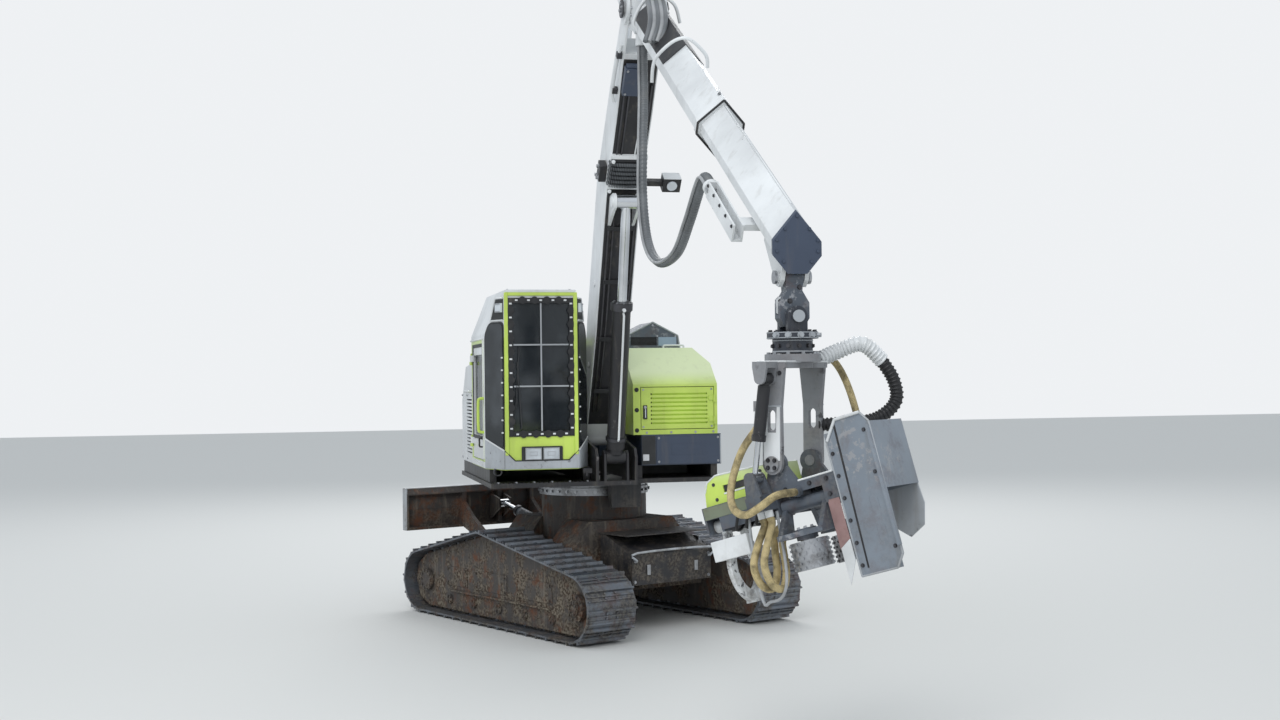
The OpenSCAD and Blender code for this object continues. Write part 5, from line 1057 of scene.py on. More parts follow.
class HARVESTER_OT_crane(bpy.types.Operator):
    """Adds the boom's dark front plate, partly painted shade, pipes, wrapped hoses, pin caps and cylinder
    glands, and the stick's trim
    """

    bl_idname = "harvester.crane"
    bl_label = "Crane"

    def execute(self, context):
        self.boom()
        self.cylinders()
        self.stick()
        return {"FINISHED"}

    def boom(self):
        # A dark plate over the boom's front face. It is painted shade on the face that turns away from the
        # light, and partly the dark of the hoses and fittings there.
        low_face = [(0.160, 0.123), (1.080, 0.208), (2.395, 0.214)]
        high_face = [(0.020, 0.214), (0.853, 0.190), (1.330, 0.148)]
        items = []
        for place, face in ((LOW, low_face), (HIGH, high_face)):
            turned = place @ Matrix.Rotation(math.radians(90), 4, "X")
            items.append((turned, [(x, -d - 0.004) for x, d in face] + [(x, -d + 0.002) for x,
                d in face[::-1]],
                          -0.147, 0.294))
        plates("boom_front_painted_shade", "dark", "boom", items)
        edge = []
        for place, face in ((LOW, low_face), (HIGH, high_face)):
            for a, b in zip(face, face[1:]):
                for y in (-0.149, 0.149):
                    edge.append((place, (a[0], y, -a[1] - 0.001), (b[0], y, -b[1] - 0.001), 0.006))
        bars("boom_edge_welds", "white", "boom", edge, 8)
        boxes("boom_valve_box", "slate", "boom", [
            (HIGH, (1.040, -0.140, -0.245), (1.290, 0.030, -0.172)),
            (HIGH, (1.290, -0.128, -0.235), (1.310, 0.018, -0.172))], 0.006)
        bolts("valve_box_bolts", in_frame(HIGH, [(x, y, -0.246) for x in (1.060, 1.270) for y in (-0.120,
            0.010)], (0, 0, -1)),
              0.016, 0.008, "zinc", "boom")
        ring = [Vector((0.720 + 0.034 * math.cos(t), 0.060, -0.232 + 0.034 * math.sin(t)))
                for t in (math.pi * k / 9 for k in range(19))]
        bent("boom_hook", "zinc", "boom", [[HIGH @ p for p in ring]], 0.010, 2, 8)
        boxes("boom_hook_plate", "dark", "boom", [(HIGH, (0.690, 0.050, -0.215), (0.760, 0.070, -0.185))],
              0.003)
        bent("boom_cable", "white", "boom", [
            [HIGH @ Vector(p) for p in ((0.450, 0.050, -0.212), (0.560, 0.052, -0.208),
                                        (0.690, 0.058, -0.205))]], 0.006)
        bolts("hose_bar_bolts", in_frame(HIGH, [(x, y, -0.262) for x in (0.127, 0.421) for y in (-0.140,
            0.140)], (0, 0, -1)),
              0.026, 0.016, "white", "boom")
        wraps = []
        for k in range(6):
            x = 0.172 + 0.042 * k
            wraps.append([HIGH @ Vector(p) for p in ((x, -0.147, -0.190), (x + 0.004, -0.135, -0.246),
                                                     (x + 0.006, 0.0, -0.262),
                                                     (x + 0.004, 0.135, -0.246), (x, 0.147, -0.190))])
        for k, route in enumerate(wraps):
            ribbed("wrapped_hose_%d" % (k + 1), "wrap", "boom", route, 0.014, 0.004, 0.014)
        pipes = []
        for y, top in ((-0.110, 1.020), (-0.070, 1.060), (0.080, 1.150), (0.115, 1.120)):
            pipes.append([LOW @ Vector((0.300, y, -0.150)), LOW @ Vector((1.080, y, -0.224)),
                          LOW @ Vector((2.200, y, -0.230))])
            pipes.append([HIGH @ Vector((0.460, y, -0.214)), HIGH @ Vector((0.853, y, -0.204)),
                          HIGH @ Vector((top, y, -0.186))])
        bent("boom_pipes", "dark steel", "boom", pipes, 0.009, 8, 8)
        clamps = [(0.520, 0.0, -0.183), (1.050, 0.0, -0.226), (1.600, 0.0, -0.231), (2.100, 0.0, -0.231)]
        blocks("boom_pipe_clamps", facing(LOW, clamps), (0.040, 0.250, 0.026), "plastic", "boom", 0.003)
        caps, cap_bolts = [], []
        for y, sign in ((-0.180, -1), (0.180, 1)):
            for place, x, r, first in ((LOW, 0.0, 0.062, 0.150), (ELBOW_PLACE, 0.0, 0.075, 0.180)):
                caps.append((place, (x, sign * first, 0), (x, sign * (first + 0.012), 0), r))
                for j in range(4):
                    t = math.pi / 4 + math.pi * j / 2
                    spot = (x + 0.6 * r * math.cos(t), sign * (first + 0.012), 0.6 * r * math.sin(t))
                    cap_bolts += in_frame(place, [spot], (0, sign, 0))
        bars("boom_pin_caps", "dark steel", "boom", caps, 24)
        bolts("boom_pin_cap_bolts", cap_bolts, 0.022, 0.010, "zinc", "boom")
        self.boom_sides()

    def boom_sides(self):
        boxes("stick_cylinder_lock", "dark", "boom", [
            (HIGH, (0.130, -0.215, -0.120), (0.290, -0.150, -0.010))], 0.006)
        bolts("stick_cylinder_lock_bolts", in_frame(HIGH, [(0.160, -0.216, -0.090), (0.160, -0.216, -0.040),
                                                           (0.260, -0.216, -0.065)], (0, -1, 0)),
              0.034, 0.020, "zinc", "boom")
        rods = [[HIGH @ Vector(p) for p in ((1.420, -0.165, -0.070), (1.250, -0.185, -0.080),
                                            (1.000, -0.190, -0.085),
                                            (0.900, -0.165, -0.085))]]
        bent("boom_side_pipe", "white", "boom", rods, 0.014, 8, 10)
        clamps = [(1.330, -0.172, -0.076), (1.010, -0.172, -0.085)]
        blocks("boom_side_clamps", facing(HIGH, clamps, (0, -1, 0)), (0.050, 0.050, 0.046), "dark steel",
               "boom", 0.003)
        boxes("work_lamp_top", "white", "boom", [(HIGH, (0.150, 0.379, -0.090), (0.156, 0.539, 0.020))],
              0.003)
        bars("work_lamp_lens", "lens", "boom", [(HIGH, (0.085, 0.459, -0.090), (0.085, 0.459, -0.098),
                                                 0.046)], 24)
        plugs = in_frame(LOW, [(x, -0.151, 0.0) for x in (0.700, 1.500)], (0, -1, 0))
        plugs += in_frame(LOW, [(x, 0.151, 0.0) for x in (0.700, 1.500)], (0, 1, 0))
        bolts("boom_inspection_plugs", plugs, 0.050, 0.008, "white", "boom")

    def cylinders(self):
        for name, place, body, length, r in (("lift", LIFT_RAM, "lift_barrel", 1.420, 0.088),
                                             ("stick", STICK_RAM, "stick_barrel", 1.250, 0.068)):
            bands = [(place, (length - 0.070, 0, 0), (length - 0.004, 0, 0), r + 0.010),
                     (place, (0.160, 0, 0), (0.190, 0, 0), r + 0.006)]
            bars(name + "_gland_rings", "dark steel", body, bands, 24)
            ring = []
            for k in range(8):
                t = 2 * math.pi * k / 8
                ring.append((length - 0.004, (r - 0.010) * math.cos(t), (r - 0.010) * math.sin(t)))
            bolts(name + "_gland_bolts", in_frame(place, ring, (1, 0, 0)), 0.018, 0.010, "zinc", body)
            pipe = [(0.180, 0.0, -r - 0.004), (0.200, 0.0, -r - 0.022), (0.300, 0.0, -r - 0.024),
                    (length - 0.200, 0.0, -r - 0.024), (length - 0.110, 0.0, -r - 0.020),
                    (length - 0.080, 0.0, -r + 0.004)]
            bent(name + "_feed_pipe", "white", body, [[place @ Vector(p) for p in pipe]], 0.010, 6, 8)
            fitting = [(length - 0.050, 0.0, -r - 0.004)]
            bolts(name + "_gland_fittings", in_frame(place, fitting, (0, 0, -1)), 0.034, 0.030, "white", body)

    def stick(self):
        upper = [(-0.157, 0.040), (-0.157, 0.046), (0.0, 0.203), (0.157, 0.046), (0.157, 0.040), (0.0, 0.197)]
        cross = ON_STICK @ Matrix(((0, 0, 1, 0), (1, 0, 0, 0), (0, 1, 0, 0), (0, 0, 0, 1)))
        # A thin dark sheet that darkens the upper faces of the stick's foot, from 0.335 m to 1.435 m along
        # it.
        plates("stick_foot_dark_sheet", "dark", "stick", [(cross, upper, 0.335, 1.100)])
        hoops = [
            [(1.440, -0.225, -0.100), (1.420, -0.225, 0.020), (1.430, -0.200, 0.110), (1.470, -0.100, 0.235),
             (1.500, 0.0, 0.262),
             (1.500, 0.140, 0.150), (1.500, 0.168, 0.050)],
            [(0.520, -0.165, 0.000), (0.500, -0.190, 0.060), (0.480, -0.120, 0.220), (0.500, 0.0, 0.268),
             (0.540, 0.110, 0.220),
             (0.560, 0.168, 0.080)],
        ]
        bent("hose_hoops", "white", "stick", [[ON_STICK @ Vector(p) for p in route] for route in hoops],
             0.013)
        for k in range(5):
            y = -0.085 + 0.030 * k
            route = [ON_STICK @ Vector(p) for p in (
                (0.100, y + 0.020, 0.235), (0.500, y - 0.010, 0.232), (0.900, y - 0.070, 0.185),
                (1.050, y - 0.130, 0.080))]
            bent("elbow_hose_%d" % (k + 1), ("wrap", "bright hose")[k % 2], "stick", [route], 0.020, 8, 12)
        bars("bundle_collars", "white", "stick", [
            (Matrix.Identity(4), (-0.080, -2.600, 4.925), (-0.080, -2.600, 4.965), 0.056)], 20)
        hexagon = [(0.155, -0.038), (0.155, 0.038), (0.0, 0.195), (-0.155, 0.038), (-0.155, -0.038),
                   (0.0, -0.195)]
        grown_hexagon = [(x * 1.05, y * 1.05) for x, y in hexagon]
        band = []
        for k in range(6):
            a, b = grown_hexagon[k], grown_hexagon[(k + 1) % 6]
            band.append((ON_STICK, (2.582, a[0], a[1]), (2.582, b[0], b[1]), 0.008))
        bars("stick_mouth_seal", "rubber", "stick", band, 8)
        rail = [(ON_STICK, (2.640, 0.0, 0.183), (4.20, 0.0, 0.183), 0.004)]
        bars("stick_ridge", "white", "inner", rail, 6)
        side_marks = in_frame(ON_STICK, [(x, 0.0, 0.197) for x in (0.80, 2.45)], (0, 0, 1))
        bolts("stick_grease_points", side_marks, 0.020, 0.016, "zinc", "stick")
        horn = []
        for sign in (-1, 1):
            horn += in_frame(ON_STICK, [(-0.449 + 0.034 * math.cos(t), sign * 0.134, 0.034 * math.sin(t))
                                        for t in (math.pi / 4 + math.pi * j / 2 for j in range(4))],
                                        (0, sign, 0))
        bolts("horn_pin_bolts", horn, 0.018, 0.010, "zinc", "stick")
        foot = [(0.150, sign * 0.134, z) for sign in (-1, 1) for z in (-0.060, 0.000, 0.060)]
        spots = []
        for x, y, z in foot:
            spots += in_frame(ON_STICK, [(x, y, z)], (0, 1 if y > 0 else -1, 0))
        bolts("foot_bolts", spots, 0.022, 0.012, "zinc", "stick")
        self.nose()

    def nose(self):
        face = wall(0, -6.124)
        ring = [(0.0, 3.190), (0.075, 3.115), (0.125, 3.050), (0.125, 2.985), (0.085, 2.925),
                (-0.075, 3.115), (-0.125, 3.050), (-0.125, 2.985), (-0.085, 2.925)]
        bolts("nose_plate_bolts", on_wall(face, ring), 0.018, 0.008, "slate", "inner")
        bars("tip_pin_caps", "zinc", "inner", [
            (TIP_PLACE, (sign * 0.097, 0, 0), (sign * 0.112, 0, 0), 0.040) for sign in (-1, 1)], 20)
        bolts("fin_bolts", in_frame(ON_STICK, [(3.32 + 0.15 * k, -0.251, -0.100) for k in range(5)],
                                    (0, -1, 0)),
              0.018, 0.009, "dark steel", "inner")
        bars("bundle_end_fittings", "zinc", "inner", [
            (Matrix.Identity(4), (-0.215 + dx, -5.030, 3.500), (-0.215 + dx, -5.110, 3.452),
             0.016) for dx in (-0.030, 0.0, 0.030)], 12)


class HARVESTER_OT_head(bpy.types.Operator):
    """Adds the head's hood trim, plate edges, sheets, studs, collars and guard, and the rotator's bands"""

    bl_idname = "harvester.head"
    bl_label = "Head"

    def execute(self, context):
        self.rotator()
        self.yoke()
        self.hood()
        self.saw_end()
        self.frame_parts()
        self.rollers()
        return {"FINISHED"}

    def rotator(self):
        axis = Matrix.Translation((0, -TIP_REACH, 0))
        bars("rotator_bands", "pale", "rotator", [
            (axis, (0, 0, 2.482), (0, 0, 2.487), 0.152), (axis, (0, 0, 2.513), (0, 0, 2.518), 0.152),
            (axis, (0, 0, 2.402), (0, 0, 2.410), 0.120), (axis, (0, 0, 2.466), (0, 0, 2.472), 0.120)], 36)
        ring = []
        for k in range(12):
            t = 2 * math.pi * k / 12
            ring.append((axis @ Vector((0.134 * math.cos(t), 0.134 * math.sin(t), 2.520)), (0, 0, 1)))
            ring.append((axis @ Vector((0.118 * math.cos(t), 0.118 * math.sin(t), 2.438)),
                         (math.cos(t), math.sin(t), 0)))
        bolts("rotator_bolts", ring, 0.022, 0.012, "dark steel", "rotator")
        ports = []
        for k in range(5):
            t = math.radians(214 + 28 * k)
            ports.append((axis @ Vector((0.150 * math.cos(t), 0.150 * math.sin(t), 2.500)),
                          (math.cos(t), math.sin(t), 0)))
        bolts("rotator_ports", ports, 0.030, 0.022, "pale", "rotator")
        bars("link_pin_caps", "pale", "rotator", [
            (axis, (0, sign * 0.116, 2.610), (0, sign * 0.128, 2.610), 0.036) for sign in (-1, 1)], 20)
        tab = axis @ wall(0, -0.008)
        plates("link_tab_face", "white", "link", [
            (tab, [(-0.101, 2.632), (-0.073, 2.613), (-0.052, 2.655), (-0.052, 2.727), (-0.083, 2.727),
                   (-0.101, 2.710)],
             0.0, 0.002)])
        bars("link_tab_holes", "plastic", "link", [
            (tab, (-0.078, z, 0.001), (-0.078, z, 0.003), 0.011) for z in (2.656, 2.702)], 16)
        front = axis @ wall(0, -0.050)
        bolts("link_bolts", on_wall(front, [(0.030, 2.780), (-0.030, 2.700), (0.050, 2.640)]), 0.024, 0.010,
              "dark steel", "link")

    def yoke(self):
        top = 0.586
        bars("yoke_top_edge", "white", "yoke", [
            (YOKE, (x, -0.262, top), (x, 0.262, top), 0.006) for x in (-0.090, 0.090)]
            + [(YOKE, (-0.090, y, top), (0.090, y, top), 0.006) for y in (-0.262, 0.262)], 8)
        ring = [(0.143 * math.cos(t), 0.143 * math.sin(t),
                 0.630) for t in (2 * math.pi * j / 10 for j in range(10))]
        bolts("yoke_ring_bolts", in_frame(YOKE, ring, (0, 0, 1)), 0.022, 0.012, "zinc", "yoke")
        sides = []
        for sign in (-1, 1):
            sides += in_frame(YOKE, [(0.030 * math.cos(t), sign * 0.275, 0.030 * math.sin(t))
                                     for t in (math.pi / 4 + math.pi * j / 2 for j in range(4))],
                                     (0, sign, 0))
            sides += in_frame(YOKE, [(x, sign * 0.262, 0.520) for x in (-0.055, 0.055)], (0, sign, 0))
        bolts("yoke_side_bolts", sides, 0.020, 0.010, "dark steel", "yoke")
        bars("yoke_welds", "pale", "yoke", [
            (YOKE, (-0.061, sign * 0.262, 0.330), (0.061, sign * 0.262, 0.330), 0.005) for sign in (-1, 1)],
            8)
        arc = [(0.040, 0.262, 0.600), (0.125, 0.370, 0.655), (0.243, 0.428, 0.690), (0.323, 0.515, 0.594)]
        tail = [(0.323, 0.515, 0.594), (0.380, 0.565, 0.470), (0.390, 0.565, 0.340), (0.300, 0.480, 0.240),
                (0.150, 0.345, 0.215),
                (0.030, 0.262, 0.210)]
        for name, finish, route, r, rib in (("hose_cover", "white", arc, 0.042, 0.008),
                                            ("hose_cover_end", "rubber", tail, 0.036, 0.007)):
            path = [YOKE @ Vector(p) for p in route]
            bent(name, finish, "yoke", [path], r, 8, 20)
            ribbed(name + "_ribs", finish, "yoke", path, r, rib, 0.024)
        bars("hose_collars", "white", "yoke", [
            (YOKE, (0, 0.262, 0.617), (0, 0.300, 0.617), 0.028),
            (YOKE, (-0.092, -0.247, 0.262), (-0.092, -0.247, 0.299), 0.028)], 20)

    def hood(self):
        for sign, name in ((-1, "near"), (1, "far")):
            y = sign * 0.190
            bars("hood_edge_" + name, "white", "head", [
                (HEAD, (a[0], y, a[1]), (b[0], y, b[1]), 0.005)
                for a, b in zip(((-0.080, 0.020), (-0.435, 0.040), (-0.500, 0.012)),
                                ((-0.435, 0.040), (-0.500, 0.012), (-0.530, -0.045)))],
                8)
            low, high = sorted((sign * 0.1812, sign * 0.1842))
            boxes("hood_slot_" + name, "plastic", "head",
                  [(HEAD, (-0.398, low, -0.069), (-0.172, high, -0.029))])
            low, high = sorted((sign * 0.190, sign * 0.193))
            boxes("hood_strip_" + name, "white", "head",
                  [(HEAD, (-0.402, low, -0.082), (-0.100, high, -0.072))], 0.001)
            low, high = sorted((sign * 0.225, sign * 0.228))
            boxes("frame_skirt_" + name, "olive", "head",
                  [(HEAD, (-0.552, low, -0.204), (-0.120, high, -0.134))], 0.001)
        screws = in_frame(HEAD, [(x, -0.190, z) for x in (-0.460, -0.130) for z in (-0.100, -0.010)],
                          (0, -1, 0))
        screws += in_frame(HEAD, [(x, 0.190, z) for x in (-0.460, -0.130) for z in (-0.100, -0.010)],
                           (0, 1, 0))
        bolts("hood_screws", screws, 0.016, 0.006, "dark steel", "head")
        bars("frame_top_edges", "white", "head", [
            (HEAD, (0.112, y, -0.129), (0.336, y, -0.129), 0.006) for y in (-0.222, 0.222)]
            + [(HEAD, (0.336, -0.222, -0.129), (0.336, 0.222, -0.129), 0.006)], 8)

    def saw_end(self):
        face = HEAD @ Matrix.Translation((0, -0.215, 0)) @ Matrix.Rotation(math.radians(90), 4, "X")
        plates("saw_plate_slot", "rubber", "head", [
            (face, [(0.392, -0.700), (0.402, -0.700), (0.424, 0.110), (0.412, 0.110)], 0.0, 0.002)])
        rim = [(0.344, -0.738), (0.569, -0.738), (0.619, -0.669), (0.630, 0.080), (0.590, 0.138),
               (0.431, 0.138), (0.343, 0.021)]
        bars("saw_plate_edges", "pale", "head",
             [(face, (*a, 0.0), (*b, 0.0), 0.006) for a, b in zip(rim, rim[1:] + rim[:1])], 8)
        bars("saw_plate_top", "white", "head", [
            (face, (0.431, 0.141, 0.004), (0.590, 0.141, 0.004), 0.009),
            (face, (0.431, 0.141, 0.004), (0.352, 0.036, 0.004), 0.009)], 8)
        spots = [(0.365, -0.215, z) for z in spread(-0.680, -0.040, 6)] + [(0.588, -0.215,
            z) for z in (-0.620, -0.200, 0.040)]
        bolts("saw_plate_bolts", in_frame(HEAD, spots, (0, -1, 0)), 0.018, 0.008, "dark steel", "head")
        turned = HEAD @ Matrix.Rotation(math.radians(90), 4, "X")
        plates("worn_inner_sheet", "worn red", "head", [
            (turned, [(0.262, -0.272), (0.336, -0.272), (0.336, -0.560), (0.300, -0.700), (0.262, -0.560)],
             0.218, 0.005)], 0.001)
        plates("knife_tip_plate", "white", "head", [
            (turned, [(0.270, -0.560), (0.338, -0.520), (0.338, -0.640), (0.272, -0.770)], 0.2225, 0.008)],
            0.002)
        plates("far_side_sheet", "pale", "head", [
            (turned, [(0.345, -0.290), (0.628, -0.290), (0.636, -0.420), (0.600, -0.540), (0.500, -0.590),
                      (0.400, -0.500)],
             -0.213, 0.010)], 0.003)

    def frame_parts(self):
        boxes("knife_cover", "white", "knife_left",
              [(HEAD, (-0.552, -0.236, -0.455), (-0.300, -0.182, -0.335))], 0.004)
        white_side = [(-0.052, 0.020), (0.052, 0.020), (0.054, 0.330), (0.035, 0.330), (0.028, 0.180),
                      (-0.028, 0.180),
                      (-0.028, 0.330), (-0.054, 0.330)]
        plates("yoke_leg_face", "white", "yoke", [(YOKE @ wall(0, -0.262), white_side, 0.0, 0.003)])
        guard = [(-0.262, -0.226, -0.262), (-0.270, -0.250, -0.420), (-0.262, -0.300, -0.735),
                 (-0.200, -0.330, -0.752),
                 (-0.110, -0.330, -0.735), (-0.070, -0.290, -0.600), (-0.070, -0.226, -0.262)]
        bent("hose_guard", "pale", "head", [[HEAD @ Vector(p) for p in guard]], 0.009, 4, 8)
        bars("hose_end_collars", "white", "head", [
            (HEAD, (x, -0.300, -0.2505), (x, -0.300, -0.290), 0.0245) for x in (-0.130, -0.080)], 20)
        bars("arm_hose_collars", "white", "feed_arm_left", [
            (HEAD, (-0.0485, -0.200, z), (-0.078, -0.200, z), 0.0245) for z in (-0.355, -0.405)], 20)
        plugs = []
        for sign in (-1, 1):
            plugs += in_frame(HEAD, [(x, sign * 0.225, z) for x in (-0.090, 0.290) for z in (-0.160,
                -0.250)], (0, sign, 0))
            plugs += in_frame(HEAD, [(x, sign * 0.225, -0.160) for x in (0.020, 0.180)], (0, sign, 0))
        bolts("frame_bolts", plugs, 0.022, 0.012, "dark steel", "head")
        boxes("valve_block", "dark steel", "head",
              [(HEAD, (-0.380 + 0.080 * k, -0.150, -0.290),
                (-0.320 + 0.080 * k, 0.150, -0.144)) for k in range(3)], 0.005)
        pipes = []
        for k in range(3):
            x = -0.350 + 0.070 * k
            pipes.append([HEAD @ Vector(p) for p in ((x, -0.150, -0.280), (x, -0.200, -0.306),
                                                     (x, -0.242, -0.300),
                                                     (x + 0.020, -0.252, -0.262),
                                                     (x + 0.035, -0.246, -0.226),
                                                     (x + 0.035, -0.228, -0.218))])
        bent("small_head_pipes", "rubber", "head", pipes, 0.009)

    def rollers(self):
        turn = HEAD.to_3x3()
        for side, end in ((-1, "left"), (1, "right")):
            studs = []
            for row in range(6):
                for k in range(16):
                    t = 2 * math.pi * (k + 0.5 * (row % 2)) / 16
                    way = Vector((math.cos(t), math.sin(t), 0))
                    spot = Vector((0.100, side * 0.260, -0.618 + 0.027 * row)) + way * 0.110
                    studs.append((HEAD @ spot, turn @ way, turn @ Vector((0, 0, 1))))
            blocks("feed_studs_" + end, studs, (0.014, 0.012, 0.016), "steel", "feed_roller_" + end)
            spots = [(0.100 + 0.045 * math.cos(t), side * 0.260 + 0.045 * math.sin(t), -0.400)
                     for t in (2 * math.pi * j / 6 for j in range(6))]
            bolts("feed_motor_bolts_" + end, in_frame(HEAD, spots, (0, 0, 1)), 0.018, 0.012, "zinc",
                  "feed_arm_" + end)


# The belt runs round these circles, as along, up and radius
CIRCLES = [(1.300, 0.315, 0.275), (0.200, 0.730, 0.120), (-1.300, 0.315, 0.275)]
SHOES = 44
SHOE_W = 0.500
TRACK_MID = 0.950
PLATE_OUT = 1.080
WHEEL_Z = 0.315
ROLLER_Z = 0.1653


def outward(heading):
    return Vector((math.sin(heading), -math.cos(heading)))


def tangent(a, b):
    run, rise = b[0] - a[0], b[1] - a[1]
    return math.atan2(rise, run) + math.asin((a[2] - b[2]) / math.hypot(run, rise))


def belt_legs():
    """The belt's straights and arcs: length, start, heading at the start, and radius or 0."""
    front, top, back = CIRCLES
    up, down = tangent(front, top), tangent(top, back) + 2 * math.pi
    legs = []
    for a, b, start, turned in ((back, front, 0.0, up), (front, top, up, down),
                                (top, back, down, 2 * math.pi)):
        foot = Vector(a[:2]) + a[2] * outward(start)
        end = Vector(b[:2]) + b[2] * outward(start)
        legs.append(((end - foot).length, foot, start, 0.0))
        legs.append((b[2] * (turned - start), end, start, b[2]))
    return legs


def on_belt(legs, t):
    for length, start, heading, radius in legs:
        if t <= length:
            break
        t -= length
    if not radius:
        return start + t * Vector((math.cos(heading), math.sin(heading))), heading
    now = heading + t / radius
    return start + radius * (outward(now) - outward(heading)), now


class HARVESTER_OT_undercarriage(bpy.types.Operator):
    """Adds ring bolts, the shoes' ribs and bolts, the chain's links, frame covers and the tool box's lid"""

    bl_idname = "harvester.undercarriage"
    bl_label = "Undercarriage"

    def execute(self, context):
        s = context.scene.harvester_fasteners
        spots = []
        for k in range(s.ring_bolts):
            t = 2 * math.pi * k / s.ring_bolts
            spots.append((Vector((0.455 * math.cos(t), 0.455 * math.sin(t), 1.290)), (0, 0, 1)))
            spots.append((Vector((0.520 * math.cos(t), 0.520 * math.sin(t), 1.215)),
                          (math.cos(t), math.sin(t), 0)))
        bolts("ring_bolts", spots, s.bolt, 0.016, "zinc", "undercarriage")
        self.tracks()
        self.frames()
        self.tool_box()
        return {"FINISHED"}

    def tracks(self):
        legs = belt_legs()
        pitch = sum(leg[0] for leg in legs) / SHOES
        turn = UNDER.to_3x3()
        ribs, shoe_bolts, links = [], [], []
        for k in range(SHOES):
            place, heading = on_belt(legs, (k + 0.5) * pitch)
            way = Vector((0, math.cos(heading), math.sin(heading)))
            out = Vector((0, math.sin(heading), -math.cos(heading)))
            for side in (-1, 1):
                centre = Vector((side * TRACK_MID, place.x, place.y))
                for u in (0.008, 0.046):
                    ribs.append((UNDER @ (centre + way * u + out * 0.018), turn @ out, turn @ way))
                for x in (-0.055, 0.055):
                    for u in (-0.014, 0.027):
                        shoe_bolts.append((UNDER @ (centre + way * u + out * 0.015 + Vector((x, 0, 0))),
                                           turn @ out))
                for x in (-0.083, 0.083):
                    links.append((UNDER @ (centre - out * 0.025 + Vector((x, 0, 0))), turn @ out, turn @ way))
        blocks("shoe_ribs", ribs, (0.011, SHOE_W - 0.02, 0.014), "shoe", "undercarriage")
        bolts("shoe_bolts", shoe_bolts, 0.024, 0.010, "shoe", "undercarriage")
        blocks("chain_links", links, (0.104, 0.010, 0.044), "frame", "undercarriage", 0.003)

    def frames(self):
        covers, cover_bolts, caps = [], [], []
        turn = UNDER.to_3x3()
        for side in (-1, 1):
            way = turn @ Vector((side, 0, 0))
            for y, r, face in ((-1.300, 0.102, 0.055), (-1.300, 0.050, 0.073), (1.300, 0.088, 0.034)):
                for j in range(10):
                    t = 2 * math.pi * j / 10
                    spot = Vector((side * (PLATE_OUT + face), y + r * math.cos(t), WHEEL_Z + r * math.sin(t)))
                    cover_bolts.append((UNDER @ spot, way))
            for k in range(-2, 3):
                y = 0.442 * k
                caps.append((UNDER, (side * PLATE_OUT, y, ROLLER_Z),
                             (side * (PLATE_OUT + 0.012), y, ROLLER_Z), 0.046))
                for j in range(4):
                    t = math.pi / 4 + math.pi * j / 2
                    spot = Vector((side * (PLATE_OUT + 0.012), y + 0.032 * math.cos(t),
                                   ROLLER_Z + 0.032 * math.sin(t)))
                    cover_bolts.append((UNDER @ spot, way))
            for y0, y1 in ((-0.880, -0.300), (-0.140, 0.420), (0.560, 0.940)):
                near, far = sorted((side * PLATE_OUT, side * (PLATE_OUT + 0.008)))
                covers.append((UNDER, (near, y0, 0.300), (far, y1, 0.480)))
                for y in (y0 + 0.03, y1 - 0.03):
                    for z in (0.325, 0.455):
                        cover_bolts.append((UNDER @ Vector((side * (PLATE_OUT + 0.008), y, z)), way))
            low, high = sorted((side * PLATE_OUT, side * (PLATE_OUT + 0.030)))
            covers.append((UNDER, (low, -0.860, 0.245), (high, 0.860, 0.262)))
        boxes("side_frame_covers", "frame", "undercarriage", covers, 0.004)
        bars("roller_caps", "frame", "undercarriage", caps, 20)
        bolts("side_frame_bolts", cover_bolts, 0.024, 0.012, "frame", "undercarriage")
        treads = [(UNDER, (-0.380, y, 0.960), (0.380, y + 0.014, 0.968)) for y in spread(-0.170, 0.150, 6)]
        boxes("frame_top_treads", "frame", "undercarriage", treads)

    def tool_box(self):
        boxes("tool_box_lid", "dark", "undercarriage", [
            (UNDER, (-0.440, -1.124, 0.858), (0.480, -0.690, 0.868)),
            (UNDER, (0.470, -1.000, 0.480), (0.478, -0.740, 0.800))], 0.003)
        bent("tool_box_rail", "pale", "undercarriage", [
            [UNDER @ Vector(p) for p in ((-0.400, -1.184, 0.640), (-0.400, -1.215, 0.650),
                                         (-0.400, -1.215, 0.720),
                                         (0.440, -1.215, 0.720), (0.440, -1.215, 0.650),
                                         (0.440, -1.184, 0.640))]], 0.010, 4, 8)
        hasps = [(UNDER @ Vector((x, -1.184, 0.560)), UNDER.to_3x3() @ Vector((0, -1, 0)),
                  UNDER.to_3x3() @ Vector((0, 0, 1)))
                 for x in (-0.250, 0.290)]
        blocks("tool_box_hasps", hasps, (0.090, 0.040, 0.014), "zinc", "undercarriage", 0.002)
        bolts("tool_box_bolts", in_frame(UNDER, [(x, -1.181, z) for x in (-0.400, 0.440) for z in (0.460,
            0.660)], (0, -1, 0)),
              0.022, 0.010, "zinc", "undercarriage")


